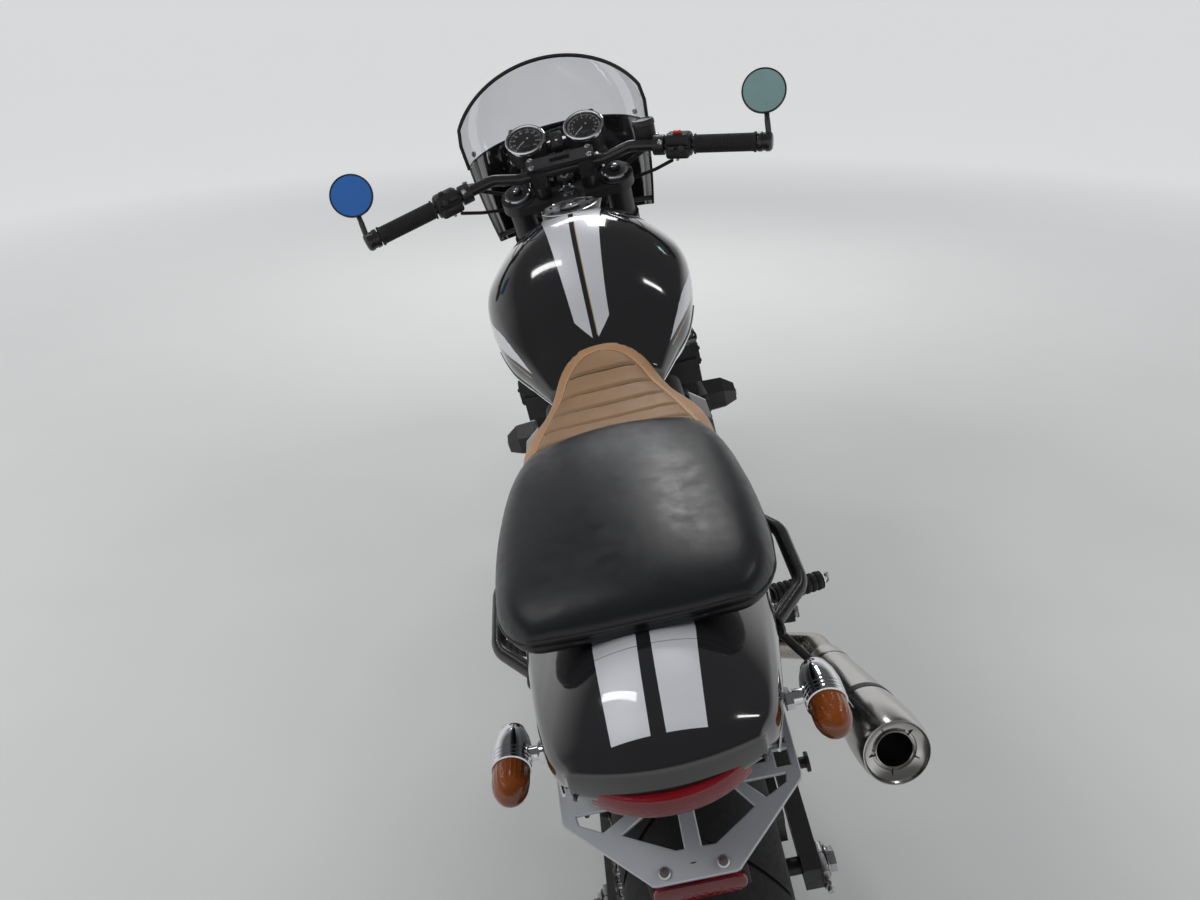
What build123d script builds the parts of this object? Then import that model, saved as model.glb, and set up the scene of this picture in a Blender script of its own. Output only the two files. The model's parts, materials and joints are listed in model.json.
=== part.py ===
from build123d import *
import os
from math import asin, atan2, cos, pi, radians, sin, sqrt, tan

# Cafe racer motorcycle, parked on its side stand. Millimetres: x right, y forward, z up.
# Every piece is built on an upright machine, then the whole is leaned and moved to its origin.

# Stance and geometry
LEAN = 12.0
FRONT_AXLE_Y = 727.0
REAR_AXLE_Y = -703.0
RAKE = 25.0
FORK_OFFSET = 36.0
HEAD_Z = 900.0

# Wheels: tyre outer radius, crown radius and half widths
FRONT_TYRE_R = 300.0
FRONT_CROWN_R = 60.0
FRONT_TREAD_HALF = 57.0
FRONT_BEAD_HALF = 47.0
REAR_TYRE_R = 315.0
REAR_CROWN_R = 92.0
REAR_TREAD_HALF = 88.0
REAR_BEAD_HALF = 72.0
BEAD_R = 216.0
RIM_LIP = 9.0
RIM_LIP_THICK = 5.0
RIM_WALL = 12.0
SPOKES = 10
HUB_R = 34.0
FIT = 0.06

# Axles and brakes
AXLE_R = 11.0
FRONT_HUB_HALF = 56.0
REAR_HUB_HALF = 72.0
FRONT_DISC_R = 150.0
REAR_DISC_R = 122.0
DISC_BAND = 32.0
DISC_THICK = 5.0
DISC_GAP = 5.5
SPROCKET_R = 84.0
SPROCKET_THICK = 8.0
FRONT_SPROCKET_R = 32.0
COUNTERSHAFT_Y = -148.0
COUNTERSHAFT_Z = 398.0
CHAIN_X = -109.0
CHAIN_WIDE = 16.0
CHAIN_HIGH = 16.0
CHAIN_GAP = 5.5

# Steering head, fork and bars
HEAD_TUBE_R = 31.0
HEAD_TUBE_HALF = 64.0
STEM_R = 15.0
YOKE_GAP = 3.0
YOKE_THICK = 24.0
FORK_X = 102.0
FORK_TUBE_R = 26.0
FORK_SLIDER_R = 20.5
FORK_LOWER_R = 24.0
FORK_CAP_RISE = 8.0
BAR_R = 11.0
GRIP_R = 17.0
BAR_END_X = 385.0
BAR_END_Y = 280.0
BAR_END_Z = 1011.0
BAR_MID_Y = 372.0
BAR_MID_Z = 1036.0
RISER_X = 48.0
GRIP_LONG = 118.0
GAUGE_X = 61.0
GAUGE_Y = 452.0
GAUGE_Z = 1094.0
GAUGE_R = 41.0
GAUGE_TILT = 32.0
MIRROR_X = 399.0
MIRROR_Y = 298.0
MIRROR_Z = 1098.0
MIRROR_R = 41.5
LAMP_R = 84.0
LAMP_Y = 590.0
LAMP_Z = 962.0
GUARD_STAY_RISE = 206.0

# Frame and swingarm
TUBE_R = 16.0
CRADLE_R = 14.0
RAIL_R = 12.0
PIVOT_Y = -215.0
PIVOT_Z = 400.0
PIVOT_X = 80.0
PIVOT_PLATE = 16.0
PIVOT_PIN_R = 9.0
ARM_X = 126.0
ARM_WIDE = 24.0
ARM_HIGH = 50.0

# Body: the undertray's height above the rear tyre sets the tail's heights
TAIL_CLEAR = 34.0
TANK_CAP_Y = 239.0
CAP_R = 54.0
SHELL = 5.0
SEAT_CLEAR = 0.6
SEAT_NOSE_Z = 854.0
RAIL_ROOM = 2.0

# Side stand
STAND_PIVOT = (-134.0, -60.0, 234.0)
STAND_FOOT = (-282.0, 34.0)
STAND_LEG_R = 12.0
STAND_PIN_R = 7.0
STAND_CANT = 18.0

# Footrests
HANGER_X = 156.5

# Rear indicators
INDICATOR_X = 161.0
INDICATOR_Y = -796.0
INDICATOR_RISE = 41.0
INDICATOR_R = 21.0

# Interfaces: number plate holes and paddock spools
PLATE_THICK = 6.0
PLATE_HOLE_X = 28.0
PLATE_HOLE_Y = -108.0
PLATE_HOLE_R = 3.3
SPOOL_Y = -560.0
SPOOL_Z = 336.0
SPOOL_R = 8.0
SPOOL_LONG = 22.0

lean_c = cos(radians(LEAN))
lean_t = tan(radians(LEAN))
front_axle_z = FRONT_TYRE_R + FRONT_CROWN_R * (1 / lean_c - 1)
rear_axle_z = REAR_TYRE_R + REAR_CROWN_R * (1 / lean_c - 1)
tail_z = rear_axle_z + REAR_TYRE_R + TAIL_CLEAR
rail_z = tail_z + 56
seat_mid_z = (SEAT_NOSE_Z + tail_z) / 2
indicator_z = tail_z + INDICATOR_RISE
head_y = FRONT_AXLE_Y - FORK_OFFSET / cos(radians(RAKE)) - (HEAD_Z - front_axle_z) * tan(radians(RAKE))
steer = Plane(
    origin=(0, head_y, HEAD_Z),
    x_dir=(1, 0, 0),
    z_dir=(0, -sin(radians(RAKE)), cos(radians(RAKE))),
)
axle_drop = (HEAD_Z - front_axle_z) * cos(radians(RAKE)) + (FRONT_AXLE_Y - head_y) * sin(radians(RAKE))

nodes = {}


def keep(name, *pieces):
    """Files the solids of one subcomponent under its name."""
    solids = []
    for piece in pieces:
        solids.extend(piece.solids())
    nodes[name] = solids


def both(piece):
    """A piece and its mirror image on the other side of the machine."""
    return Compound(piece.solids() + mirror(piece, about=Plane.YZ).solids())


def rod(start, end, radius):
    """A round bar from one point to another."""
    run = Vector(end) - Vector(start)
    base = Plane(origin=start, z_dir=run)
    return base * Cylinder(radius, run.length, align=(Align.CENTER, Align.CENTER, Align.MIN))


def pipe(points, radius, bends):
    """A round tube along straight runs joined by arcs."""
    path = FilletPolyline(*points, radius=bends)
    section = Plane(origin=path @ 0, z_dir=path % 0) * Circle(radius)
    return sweep(section, path=path)


def disc(x, y, z, radius, thick):
    """A flat round plate whose axis lies across the machine, centred on x."""
    return Pos(x, y, z) * Rot(0, 90, 0) * Cylinder(radius, thick)


def block(x, y, z, wide, long, high, edge=0.0):
    """A box centred on a point, with its long edges rounded."""
    body = Box(wide, long, high)
    if edge:
        body = fillet(body.edges().filter_by(Axis.Y), edge)
    return Pos(x, y, z) * body


def side_plate(outline, x, thick):
    """A flat plate seen from the side: outline in (y, z), centred on x."""
    base = Plane(origin=(x - thick / 2, 0, 0), x_dir=(0, 1, 0), z_dir=(1, 0, 0))
    return extrude(base * make_face(Polyline(*outline, close=True)), thick)


def arch(y, half, waist, top, foot, foot_half, shoulder):
    """A body section across the machine: flat foot, bowed sides, shoulder arcs and one crown arc."""
    rise = top - waist
    crown = ((half - shoulder) ** 2 + rise ** 2 - shoulder ** 2) / (2 * (rise - shoulder))
    away = Vector(half - shoulder, crown - rise)
    away = away.normalized()
    touch = (away.X * crown, top - crown + away.Y * crown)
    turn = 0.5 * atan2(touch[1] - waist, touch[0] - half + shoulder)
    mid = (half - shoulder + shoulder * cos(turn), waist + shoulder * sin(turn))
    flank = ((half * 2 + foot_half) / 3 + 0.06 * (waist - foot), (waist + foot) / 2)
    edges = [
        Line((-foot_half, foot), (foot_half, foot)),
        ThreePointArc((foot_half, foot), flank, (half, waist)),
        ThreePointArc((half, waist), mid, touch),
        ThreePointArc(touch, (0, top), (-touch[0], touch[1])),
        ThreePointArc((-touch[0], touch[1]), (-mid[0], mid[1]), (-half, waist)),
        ThreePointArc((-half, waist), (-flank[0], flank[1]), (-foot_half, foot)),
    ]
    base = Plane(origin=(0, y, 0), x_dir=(1, 0, 0), z_dir=(0, -1, 0))
    return base * make_face(edges)


def skin(sections):
    """A body skinned over arch sections, front to back."""
    return loft([arch(*row) for row in sections])


def strip(left, middle, thick):
    """A thin bowed section from a left point through a middle point to its mirror image."""
    right = (-left[0], left[1], left[2])
    fore = Vector(0, middle[1] - left[1], middle[2] - left[2])
    depth = fore.length
    base = Plane(origin=(0, left[1], left[2]), x_dir=(1, 0, 0), z_dir=Vector(1, 0, 0).cross(fore))
    half = right[0]
    edges = [
        ThreePointArc((-half, 0), (0, depth), (half, 0)),
        Line((half, 0), (half - thick, 0)),
        ThreePointArc((half - thick, 0), (0, depth - thick), (-half + thick, 0)),
        Line((-half + thick, 0), (-half, 0)),
    ]
    return base * make_face(edges)


# Wheels, built about x and set on their axles

def tyre(outer, crown, tread_half, bead_half):
    edge_r = outer - crown + sqrt(crown ** 2 - tread_half ** 2)
    wall_r = BEAD_R + RIM_LIP + 3
    wall = (tread_half - 2, 0.45 * edge_r + 0.55 * wall_r)
    edges = [
        ThreePointArc((-tread_half, edge_r), (0, outer), (tread_half, edge_r)),
        ThreePointArc((tread_half, edge_r), wall, (bead_half, wall_r)),
        Line((bead_half, wall_r), (bead_half, BEAD_R)),
        Line((bead_half, BEAD_R), (-bead_half, BEAD_R)),
        Line((-bead_half, BEAD_R), (-bead_half, wall_r)),
        ThreePointArc((-bead_half, wall_r), (-wall[0], wall[1]), (-tread_half, edge_r)),
    ]
    return revolve(make_face(edges), axis=Axis.X)


def ring(outer, inner, thick, x=0.0):
    return Pos(x, 0, 0) * Rot(0, 90, 0) * (Cylinder(outer, thick) - Cylinder(inner, thick + 2))


def rim(bead_half, hub_half, spoke_wide):
    barrel_r = BEAD_R - FIT
    half = bead_half + RIM_LIP_THICK
    barrel = ring(barrel_r, barrel_r - RIM_WALL, 2 * half)
    for side in (-1, 1):
        lip_x = side * (half - RIM_LIP_THICK / 2)
        barrel += ring(BEAD_R + RIM_LIP, barrel_r - RIM_WALL, RIM_LIP_THICK - FIT, lip_x)
    body = barrel + ring(HUB_R, AXLE_R + FIT, 2 * hub_half)
    reach = barrel_r - RIM_WALL + 3
    foot = Plane.XY.offset(HUB_R - 6) * Rectangle(spoke_wide * 1.5, 26)
    tip = Plane.XY.offset(reach) * Rectangle(spoke_wide, 20)
    spoke = loft([foot, tip])
    for count in range(SPOKES):
        body += Rot(360 / SPOKES * count, 0, 0) * spoke
    return body


def brake_disc(outer, x, hub_half):
    """A disc band on a carrier with windows, and the carrier's seat against the hub."""
    side = 1 if x > 0 else -1
    body = ring(outer, outer - DISC_BAND, DISC_THICK, x)
    carrier_r = outer - DISC_BAND + 3
    carrier = ring(carrier_r, AXLE_R + 6, DISC_THICK, x)
    for count in range(6):
        window = Rot(360 / 6 * count, 0, 0) * Pos(x, 0, 0.66 * carrier_r) * Rot(0, 90, 0) * Cylinder(19, 20)
        carrier -= window
    seat = abs(x) - hub_half
    body += carrier
    if seat > 0:
        body += ring(HUB_R - 4, AXLE_R + 6, seat, side * (hub_half + seat / 2))
    return body


front_place = Pos(0, FRONT_AXLE_Y, front_axle_z)
rear_place = Pos(0, REAR_AXLE_Y, rear_axle_z)
front_disc_x = FRONT_HUB_HALF + 8
rear_disc_x = REAR_HUB_HALF + 12
sprocket_x = CHAIN_X

keep("front_tyre", front_place * tyre(FRONT_TYRE_R, FRONT_CROWN_R, FRONT_TREAD_HALF, FRONT_BEAD_HALF))
keep("front_rim", front_place * rim(FRONT_BEAD_HALF, FRONT_HUB_HALF, 20))
keep(
    "front_discs",
    front_place * brake_disc(FRONT_DISC_R, front_disc_x, FRONT_HUB_HALF),
    front_place * brake_disc(FRONT_DISC_R, -front_disc_x, FRONT_HUB_HALF),
)
keep("rear_tyre", rear_place * tyre(REAR_TYRE_R, REAR_CROWN_R, REAR_TREAD_HALF, REAR_BEAD_HALF))
keep("rear_rim", rear_place * rim(REAR_BEAD_HALF, REAR_HUB_HALF, 26))
sprocket = ring(SPROCKET_R, AXLE_R + 6, SPROCKET_THICK, sprocket_x)
for count in range(5):
    sprocket -= Rot(72 * count, 0, 0) * Pos(sprocket_x, 0, 58) * Rot(0, 90, 0) * Cylinder(15, 20)
carrier_long = abs(sprocket_x) - SPROCKET_THICK / 2 - REAR_HUB_HALF
sprocket += ring(HUB_R + 6, AXLE_R + 6, carrier_long, -(REAR_HUB_HALF + carrier_long / 2))
rear_disc = brake_disc(REAR_DISC_R, rear_disc_x, REAR_HUB_HALF)
keep("rear_disc_and_sprocket", rear_place * rear_disc, rear_place * sprocket)

# Fork, yokes and axle, in the plane of the steering head

yoke_top_z = HEAD_TUBE_HALF + YOKE_GAP
cap_z = yoke_top_z + YOKE_THICK + FORK_CAP_RISE


def yoke(low, high):
    """One fork yoke: stem boss, two clamps and the web between them."""
    middle = (low + high) / 2
    thick = high - low
    web = Box(2 * FORK_X, 44, thick * 0.8)
    body = Pos(0, FORK_OFFSET * 0.55, middle) * web
    body += Pos(0, 0, middle) * Cylinder(STEM_R + 17, thick)
    for side in (-1, 1):
        body += Pos(side * FORK_X, FORK_OFFSET, middle) * Cylinder(FORK_TUBE_R + 9, thick)
        body -= Pos(side * FORK_X, FORK_OFFSET, middle) * Cylinder(FORK_TUBE_R + FIT, thick + 2)
    return body


stem_long = 2 * (HEAD_TUBE_HALF + YOKE_GAP + YOKE_THICK) + 6
yokes = yoke(yoke_top_z, yoke_top_z + YOKE_THICK)
yokes += yoke(-yoke_top_z - YOKE_THICK - 6, -yoke_top_z)
yokes += Cylinder(STEM_R - FIT, stem_long)
yokes += Pos(0, 0, yoke_top_z + YOKE_THICK + 4) * Cylinder(STEM_R + 4, 8)

tube_foot = -430.0
lug_z = -axle_drop
fork_leg = Pos(FORK_X, FORK_OFFSET, (cap_z + tube_foot) / 2) * Cylinder(FORK_TUBE_R, cap_z - tube_foot)
fork_leg += Pos(FORK_X, FORK_OFFSET, (tube_foot + lug_z) / 2) * Cylinder(FORK_SLIDER_R, tube_foot - lug_z)
fork_leg += Pos(FORK_X, FORK_OFFSET, lug_z + 30) * Cylinder(FORK_LOWER_R, 96)
fork_leg += Pos(FORK_X, FORK_OFFSET, lug_z) * Rot(0, 90, 0) * Cylinder(28, 2 * FORK_LOWER_R - 6)
fork_leg -= Pos(FORK_X, FORK_OFFSET, lug_z) * Rot(0, 90, 0) * Cylinder(AXLE_R + FIT, 90)
keep("fork_legs", both(steer * fork_leg))
front_axle_half = FORK_X + FORK_LOWER_R + 8
front_axle = disc(0, FRONT_AXLE_Y, front_axle_z, AXLE_R, 2 * front_axle_half)
for side in (-1, 1):
    front_axle += disc(side * (front_axle_half - 3), FRONT_AXLE_Y, front_axle_z, AXLE_R + 5, 6)
    spacer = FORK_X - FORK_LOWER_R - FRONT_HUB_HALF - 1
    spacer_x = FRONT_HUB_HALF + 1 + spacer / 2
    front_axle += disc(side * spacer_x, FRONT_AXLE_Y, front_axle_z, AXLE_R + 4, spacer)
keep("front_axle", front_axle)

# Front brake calipers, behind the fork legs on the disc's band
caliper_r = FRONT_DISC_R - DISC_BAND / 2
caliper = Box(2 * DISC_GAP + DISC_THICK + 34, 62, 96)
caliper = fillet(caliper.edges().filter_by(Axis.X), 14)
caliper -= Pos(0, 12, 0) * Box(2 * DISC_GAP + DISC_THICK, 62, 120)
caliper_y = FORK_OFFSET - caliper_r * 0.96
caliper = Pos(front_disc_x, caliper_y, lug_z + 62) * Rot(28, 0, 0) * caliper
lug = Pos(FORK_X - 8, FORK_OFFSET - 50, lug_z + 52) * Box(12, 82, 26)
lug -= Pos(FORK_X, FORK_OFFSET, lug_z + 52) * Cylinder(FORK_LOWER_R + FIT, 90)
caliper = steer * (caliper + lug)
caliper -= front_place * ring(FRONT_DISC_R + DISC_GAP, 10, DISC_THICK + 2 * DISC_GAP, front_disc_x)
keep("front_calipers", both(caliper))

# Front mudguard: a band over the tyre, held by stays to the fork lowers
guard_r = FRONT_TYRE_R + 16
guard = revolve(
    Plane.XY * make_face([
        ThreePointArc((-66, guard_r - 26), (0, guard_r + 4), (66, guard_r - 26)),
        Line((66, guard_r - 26), (62, guard_r - 28)),
        ThreePointArc((62, guard_r - 28), (0, guard_r), (-62, guard_r - 28)),
        Line((-62, guard_r - 28), (-66, guard_r - 26)),
    ]),
    axis=Axis.X,
    revolution_arc=122,
)
guard = front_place * Rot(36, 0, 0) * guard
guard_edge = guard_r - 26
guard_stay = rod(
    (64, FRONT_AXLE_Y - 0.16 * guard_edge, front_axle_z + 0.987 * guard_edge),
    steer.from_local_coords(Vector(FORK_X - 4, FORK_OFFSET, lug_z + GUARD_STAY_RISE)),
    6,
) - steer * fork_leg
keep("front_mudguard", guard + both(guard_stay))

# Bars, grips, controls and mirrors
bar_points = [
    (-BAR_END_X, BAR_END_Y, BAR_END_Z),
    (-140, 364, BAR_MID_Z + 12),
    (-88, BAR_MID_Y, BAR_MID_Z),
    (88, BAR_MID_Y, BAR_MID_Z),
    (140, 364, BAR_MID_Z + 12),
    (BAR_END_X, BAR_END_Y, BAR_END_Z),
]
handlebar = pipe(bar_points, BAR_R, 40)
bar_end = Vector(BAR_END_X, BAR_END_Y, BAR_END_Z)
bar_bend = Vector(140, 364, BAR_MID_Z + 12)
bar_way = (bar_bend - bar_end).normalized()
bar_local = steer.to_local_coords(Vector(0, BAR_MID_Y, BAR_MID_Z))
riser_foot = yoke_top_z + YOKE_THICK
risers = Part()
for side in (-1, 1):
    riser_long = bar_local.Z - riser_foot
    riser = Pos(side * RISER_X, bar_local.Y, riser_foot + riser_long / 2) * Cylinder(17, riser_long)
    clamp = Pos(side * RISER_X, bar_local.Y, bar_local.Z) * Box(30, 44, 34)
    risers += riser + clamp
bridge = Pos(0, bar_local.Y, bar_local.Z + 21) * Box(2 * RISER_X + 40, 34, 9)
bridge -= Pos(0, bar_local.Y, bar_local.Z + 21) * Box(40, 12, 20)
risers = steer * (risers + bridge)
keep("handlebar", handlebar + risers)


def on_bar(distance):
    """A point on the right end of the bar, at a distance in from its tip."""
    return bar_end + bar_way * distance


def sleeve(start, stop, radius):
    """A hollow sleeve round the right end of the bar."""
    first = on_bar(start)
    last = on_bar(stop)
    return rod(first, last, radius) - rod(
        on_bar(start - 5), on_bar(stop + 5), BAR_R + FIT
    )


keep("grips", both(sleeve(16, 16 + GRIP_LONG, GRIP_R)))
switch = sleeve(140, 188, 22)
switch += Plane(origin=on_bar(164), x_dir=bar_way, z_dir=(0, 0, 1)) * Pos(0, -4, 0) * Box(44, 40, 46)
switch -= rod(on_bar(120), on_bar(220), BAR_R + FIT)
keep("switchgear", both(switch))

lever_perch = sleeve(192, 214, 19)
perch_at = on_bar(203)
lever_perch += Pos(perch_at.X - 4, perch_at.Y + 30, perch_at.Z) * Box(34, 34, 20)
lever_perch -= rod(on_bar(120), on_bar(240), BAR_R + FIT)
lever_path = [
    (perch_at.X, perch_at.Y + 44, perch_at.Z - 2),
    (perch_at.X + 60, perch_at.Y + 36, perch_at.Z - 8),
    (BAR_END_X - 18, BAR_END_Y + 58, BAR_END_Z - 4),
]
lever = pipe(lever_path, 6, 40)
reservoir_foot = Vector(perch_at.X - 20, perch_at.Y + 40, perch_at.Z + 8)
reservoir = rod(reservoir_foot, reservoir_foot + Vector(0, 0, 40), 21)
keep("levers", lever_perch + lever + reservoir, mirror(lever_perch + lever, about=Plane.YZ))

bar_cap = rod(on_bar(-14), on_bar(14), GRIP_R + 1)
bar_cap -= rod(on_bar(-1), on_bar(20), BAR_R + FIT)
mirror_stem = pipe(
    [on_bar(-8), (MIRROR_X - 4, BAR_END_Y + 4, BAR_END_Z + 40), (MIRROR_X, MIRROR_Y, MIRROR_Z - 32)],
    5,
    14,
)
mirror_face = Plane(origin=(MIRROR_X, MIRROR_Y, MIRROR_Z), x_dir=(1, 0, 0), z_dir=(-0.12, -0.90, 0.42))
mirror_back = mirror_face * Pos(0, 0, -8) * Cylinder(MIRROR_R, 14)
mirror_back -= mirror_face * Cylinder(MIRROR_R - 3, 3)
keep("mirrors", both(bar_cap + mirror_stem + mirror_back))

# Instruments on their bracket ahead of the top yoke
gauge_set = []
for side in (-1, 1):
    place = Pos(side * GAUGE_X, GAUGE_Y, GAUGE_Z) * Rot(GAUGE_TILT, 0, 0)
    pod = place * Pos(0, 0, -22) * Cylinder(GAUGE_R, 44)
    pod += place * Pos(0, 0, -52) * Cone(GAUGE_R * 0.55, GAUGE_R * 0.9, 16)
    gauge_set.append(pod)
gauge_arm = Pos(0, GAUGE_Y, GAUGE_Z) * Rot(GAUGE_TILT, 0, 0) * Pos(0, 0, -36) * Box(2 * GAUGE_X, 26, 8)
gauge_set.append(gauge_arm)
gauge_bracket = rod((0, GAUGE_Y + 18, GAUGE_Z - 32), (0, 400, 994), 8) - steer * yokes
gauges = gauge_set[0]
for piece in gauge_set[1:] + [gauge_bracket]:
    gauges += piece
keep("gauges", gauges)

# Lamp, cowl and screen
lamp = Pos(0, LAMP_Y, LAMP_Z) * Rot(90, 0, 0) * Cylinder(LAMP_R, 70)
lamp += Pos(0, LAMP_Y - 60, LAMP_Z) * Rot(90, 0, 0) * Cone(LAMP_R, LAMP_R * 0.55, 50)
keep("headlamp", lamp)

cowl = loft([
    strip((-172, 500, 893), (0, 636, 868), SHELL),
    strip((-184, 482, 985), (0, 672, 975), SHELL),
    strip((-190, 472, 1062), (0, 655, 1080), SHELL),
])
cowl -= Pos(0, LAMP_Y + 40, LAMP_Z) * Rot(90, 0, 0) * Cylinder(LAMP_R + 4, 160)
keep("cowl", cowl)
screen = loft([
    strip((-190, 472, 1062.3), (0, 655, 1080.3), 3.5),
    strip((-192, 463, 1110), (0, 610, 1160), 3.5),
    strip((-186, 456, 1142), (0, 552, 1226), 3.5),
])
keep("windscreen", screen)

stay_z = -22.0
stays = Part()
for side in (-1, 1):
    clamp_ring = Cylinder(FORK_TUBE_R + 6, 20) - Cylinder(FORK_TUBE_R + FIT, 22)
    stays += Pos(side * FORK_X, FORK_OFFSET, stay_z) * clamp_ring
stays = steer * stays
for side in (-1, 1):
    stays += rod((side * (FORK_X + 28), 460, 898), (side * 78, 560, 938), 6)
    stays += rod((side * 110, 500, 914), (side * 172, 505, 905), 5)
yokes = steer * yokes
keep("yokes", yokes)
keep("lamp_stays", stays - cowl - lamp - both(steer * fork_leg))

# Frame: head tube, spars, down tubes, cradle, pivot plates and cross tubes
head_low = steer.from_local_coords(Vector(0, 0, -HEAD_TUBE_HALF))
head_high = steer.from_local_coords(Vector(0, 0, HEAD_TUBE_HALF))
half_frame = pipe(
    [(20, head_y - 6, HEAD_Z + 14), (56, 330, 838), (66, 70, 802), (PIVOT_X, -108, 742),
     (PIVOT_X, PIVOT_Y + 8, PIVOT_Z + 40)],
    TUBE_R,
    44,
)
half_frame += pipe(
    [(20, head_y - 8, HEAD_Z - 16), (60, 356, 800), (92, 345, 690), (97, 330, 500), (97, 318, 270),
     (97, 262, 226), (92, -96, 226), (PIVOT_X, PIVOT_Y + 10, PIVOT_Z - 30)],
    CRADLE_R,
    26,
)
half_frame += rod((62, 240, 822), (91, 344, 664), 11)
plate_outline = [
    (PIVOT_Y - 34, PIVOT_Z - 60), (PIVOT_Y + 44, PIVOT_Z - 72), (PIVOT_Y + 40, PIVOT_Z + 70),
    (PIVOT_Y - 18, PIVOT_Z + 80), (PIVOT_Y - 38, PIVOT_Z + 10),
]
half_frame += side_plate(plate_outline, PIVOT_X, PIVOT_PLATE)
frame = both(half_frame)
frame_body = rod(head_low, head_high, HEAD_TUBE_R)
for solid in frame.solids():
    frame_body += solid
frame_body += disc(0, -146, 640, 13, 2 * PIVOT_X)
frame_body += disc(0, PIVOT_Y + 20, PIVOT_Z + 64, 12, 2 * PIVOT_X)
frame_body += disc(0, 120, 226, 12, 190)
frame_body += block(0, -172, 640, 44, 40, 18)
frame_body -= steer * Cylinder(STEM_R, 2 * HEAD_TUBE_HALF + 20)
frame_body -= disc(0, PIVOT_Y, PIVOT_Z, PIVOT_PIN_R + FIT, 300)
# Rear subframe: two rails and their struts
rail_path = [
    (PIVOT_X + TUBE_R + 4, -120, 706), (102, -210, rail_z), (102, -560, rail_z + 2), (70, -850, rail_z + 36),
]
rails = pipe(rail_path, RAIL_R, 60)
rails += pipe([(PIVOT_X + TUBE_R + 2, -170, 560), (104, -230, 590), (102, -480, rail_z)], 11, 50)
subframe = rails.solids() + mirror(rails, about=Plane.YZ).solids()
subframe_body = disc(0, -560, rail_z + 2, RAIL_R - 2, 204)
for solid in subframe:
    subframe_body += solid
subframe_body += disc(0, -300, rail_z, RAIL_R - 2, 204)
for side in (-1, 1):
    subframe_body += disc(side * (PIVOT_X + TUBE_R / 2 + 4), -122, 706, 9, TUBE_R)
    subframe_body += disc(side * (PIVOT_X + TUBE_R / 2 + 4), -172, 562, 9, TUBE_R)
subframe_body -= frame_body
keep("subframe", subframe_body)

# Engine: lower case, finned barrels and head, side covers
case_outline = [
    (-150, 330), (-84, 262), (220, 262), (262, 330), (252, 452), (232, 500), (-60, 520), (-150, 470),
]
case = side_plate(case_outline, 0, 300)
case = chamfer(case.edges().filter_by(Axis.X), 8)
case -= block(-125, -130, 399, 62, 141, 128)
case += block(0, -168, 464, 60, 44, 24)
for side in (-1, 1):
    case += block(side * 97, 286, 340, 24, 60, 30)
case -= frame_body
keep("engine_case", case)

top_tilt = 12.0
top_way = (0, sin(radians(top_tilt)), cos(radians(top_tilt)))
top_base = Plane(origin=(0, 150, 500), x_dir=(1, 0, 0), z_dir=top_way)
FINS = 8
FIN_PITCH = 11.0
top = Pos(0, 0, 66) * Box(318, 128, 130)
for count in range(FINS):
    top += Pos(0, 0, 24 + FIN_PITCH * count) * Box(350, 156, 3.5)
top += Pos(0, 0, 152) * Box(340, 150, 44)
top += Pos(0, 0, 186) * Box(322, 132, 30)
for side in (-1, 1):
    for row in (-38, 38):
        top += Pos(side * 164, row, 180) * Rot(0, 90, 0) * Cylinder(25, 26)
engine_top = top_base * top
engine_top -= case
engine_top = engine_top.solids().sort_by(SortBy.VOLUME)[-1]
keep("engine_top", engine_top)

INTAKE_ROWS = (-120, -40, 40, 120)
intake = block(0, -30, 655, 250, 96, 110, 20)
for x in INTAKE_ROWS:
    intake += rod((x, 0, 652), (x, 96, 628), 21)
intake -= engine_top + frame_body
keep("intake", intake.solids().sort_by(SortBy.VOLUME)[-1])

clutch = disc(174, 30, 384, 92, 46) + disc(200, 30, 384, 70, 10)
clutch += disc(164, 168, 372, 62, 26)
alternator = disc(-172, 150, 372, 74, 42) + disc(-196, 150, 372, 58, 8)
sprocket_cover = side_plate(
    [(-196, 352), (-100, 336), (-60, 360), (-60, 446), (-110, 462), (-196, 446)], -134.5, 17
)
sprocket_cover += disc(-134.5, COUNTERSHAFT_Y + 6, COUNTERSHAFT_Z, 50, 17)
keep("engine_covers", clutch, alternator, sprocket_cover)

# Radiator ahead of the engine
radiator = block(0, 372, 560, 330, 26, 232)
radiator += block(178, 372, 560, 26, 34, 240)
radiator += block(-178, 372, 560, 26, 34, 240)
radiator -= frame_body
keep("radiator", radiator)

# Exhaust: four header pipes, collector and link pipe
exhaust = Part()
for x, inner in ((-142, -66), (-52, -24), (52, 24), (142, 66)):
    exhaust += pipe(
        [(x, 258, 596), (x, 322, 560), (x, 336, 300), (x * 0.9, 268, 196), (inner, 60, 188)],
        18,
        (26, 50, 60),
    )
exhaust += block(0, 30, 188, 178, 110, 44)
SILENCER_IN = (257, -300, 262)
SILENCER_OUT = (280, -600, 364)
silencer_way = Vector(SILENCER_OUT) - Vector(SILENCER_IN)
silencer_long = silencer_way.length
link_start = Vector(SILENCER_IN) - silencer_way.normalized() * 70
link_end = Vector(SILENCER_IN) + silencer_way.normalized() * 10
exhaust += pipe([(50, 10, 188), (60, -70, 186), (200, -170, 200), link_start, link_end], 24, (40, 50, 34))
keep("exhaust_headers", exhaust - engine_top - radiator - frame_body)

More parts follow.
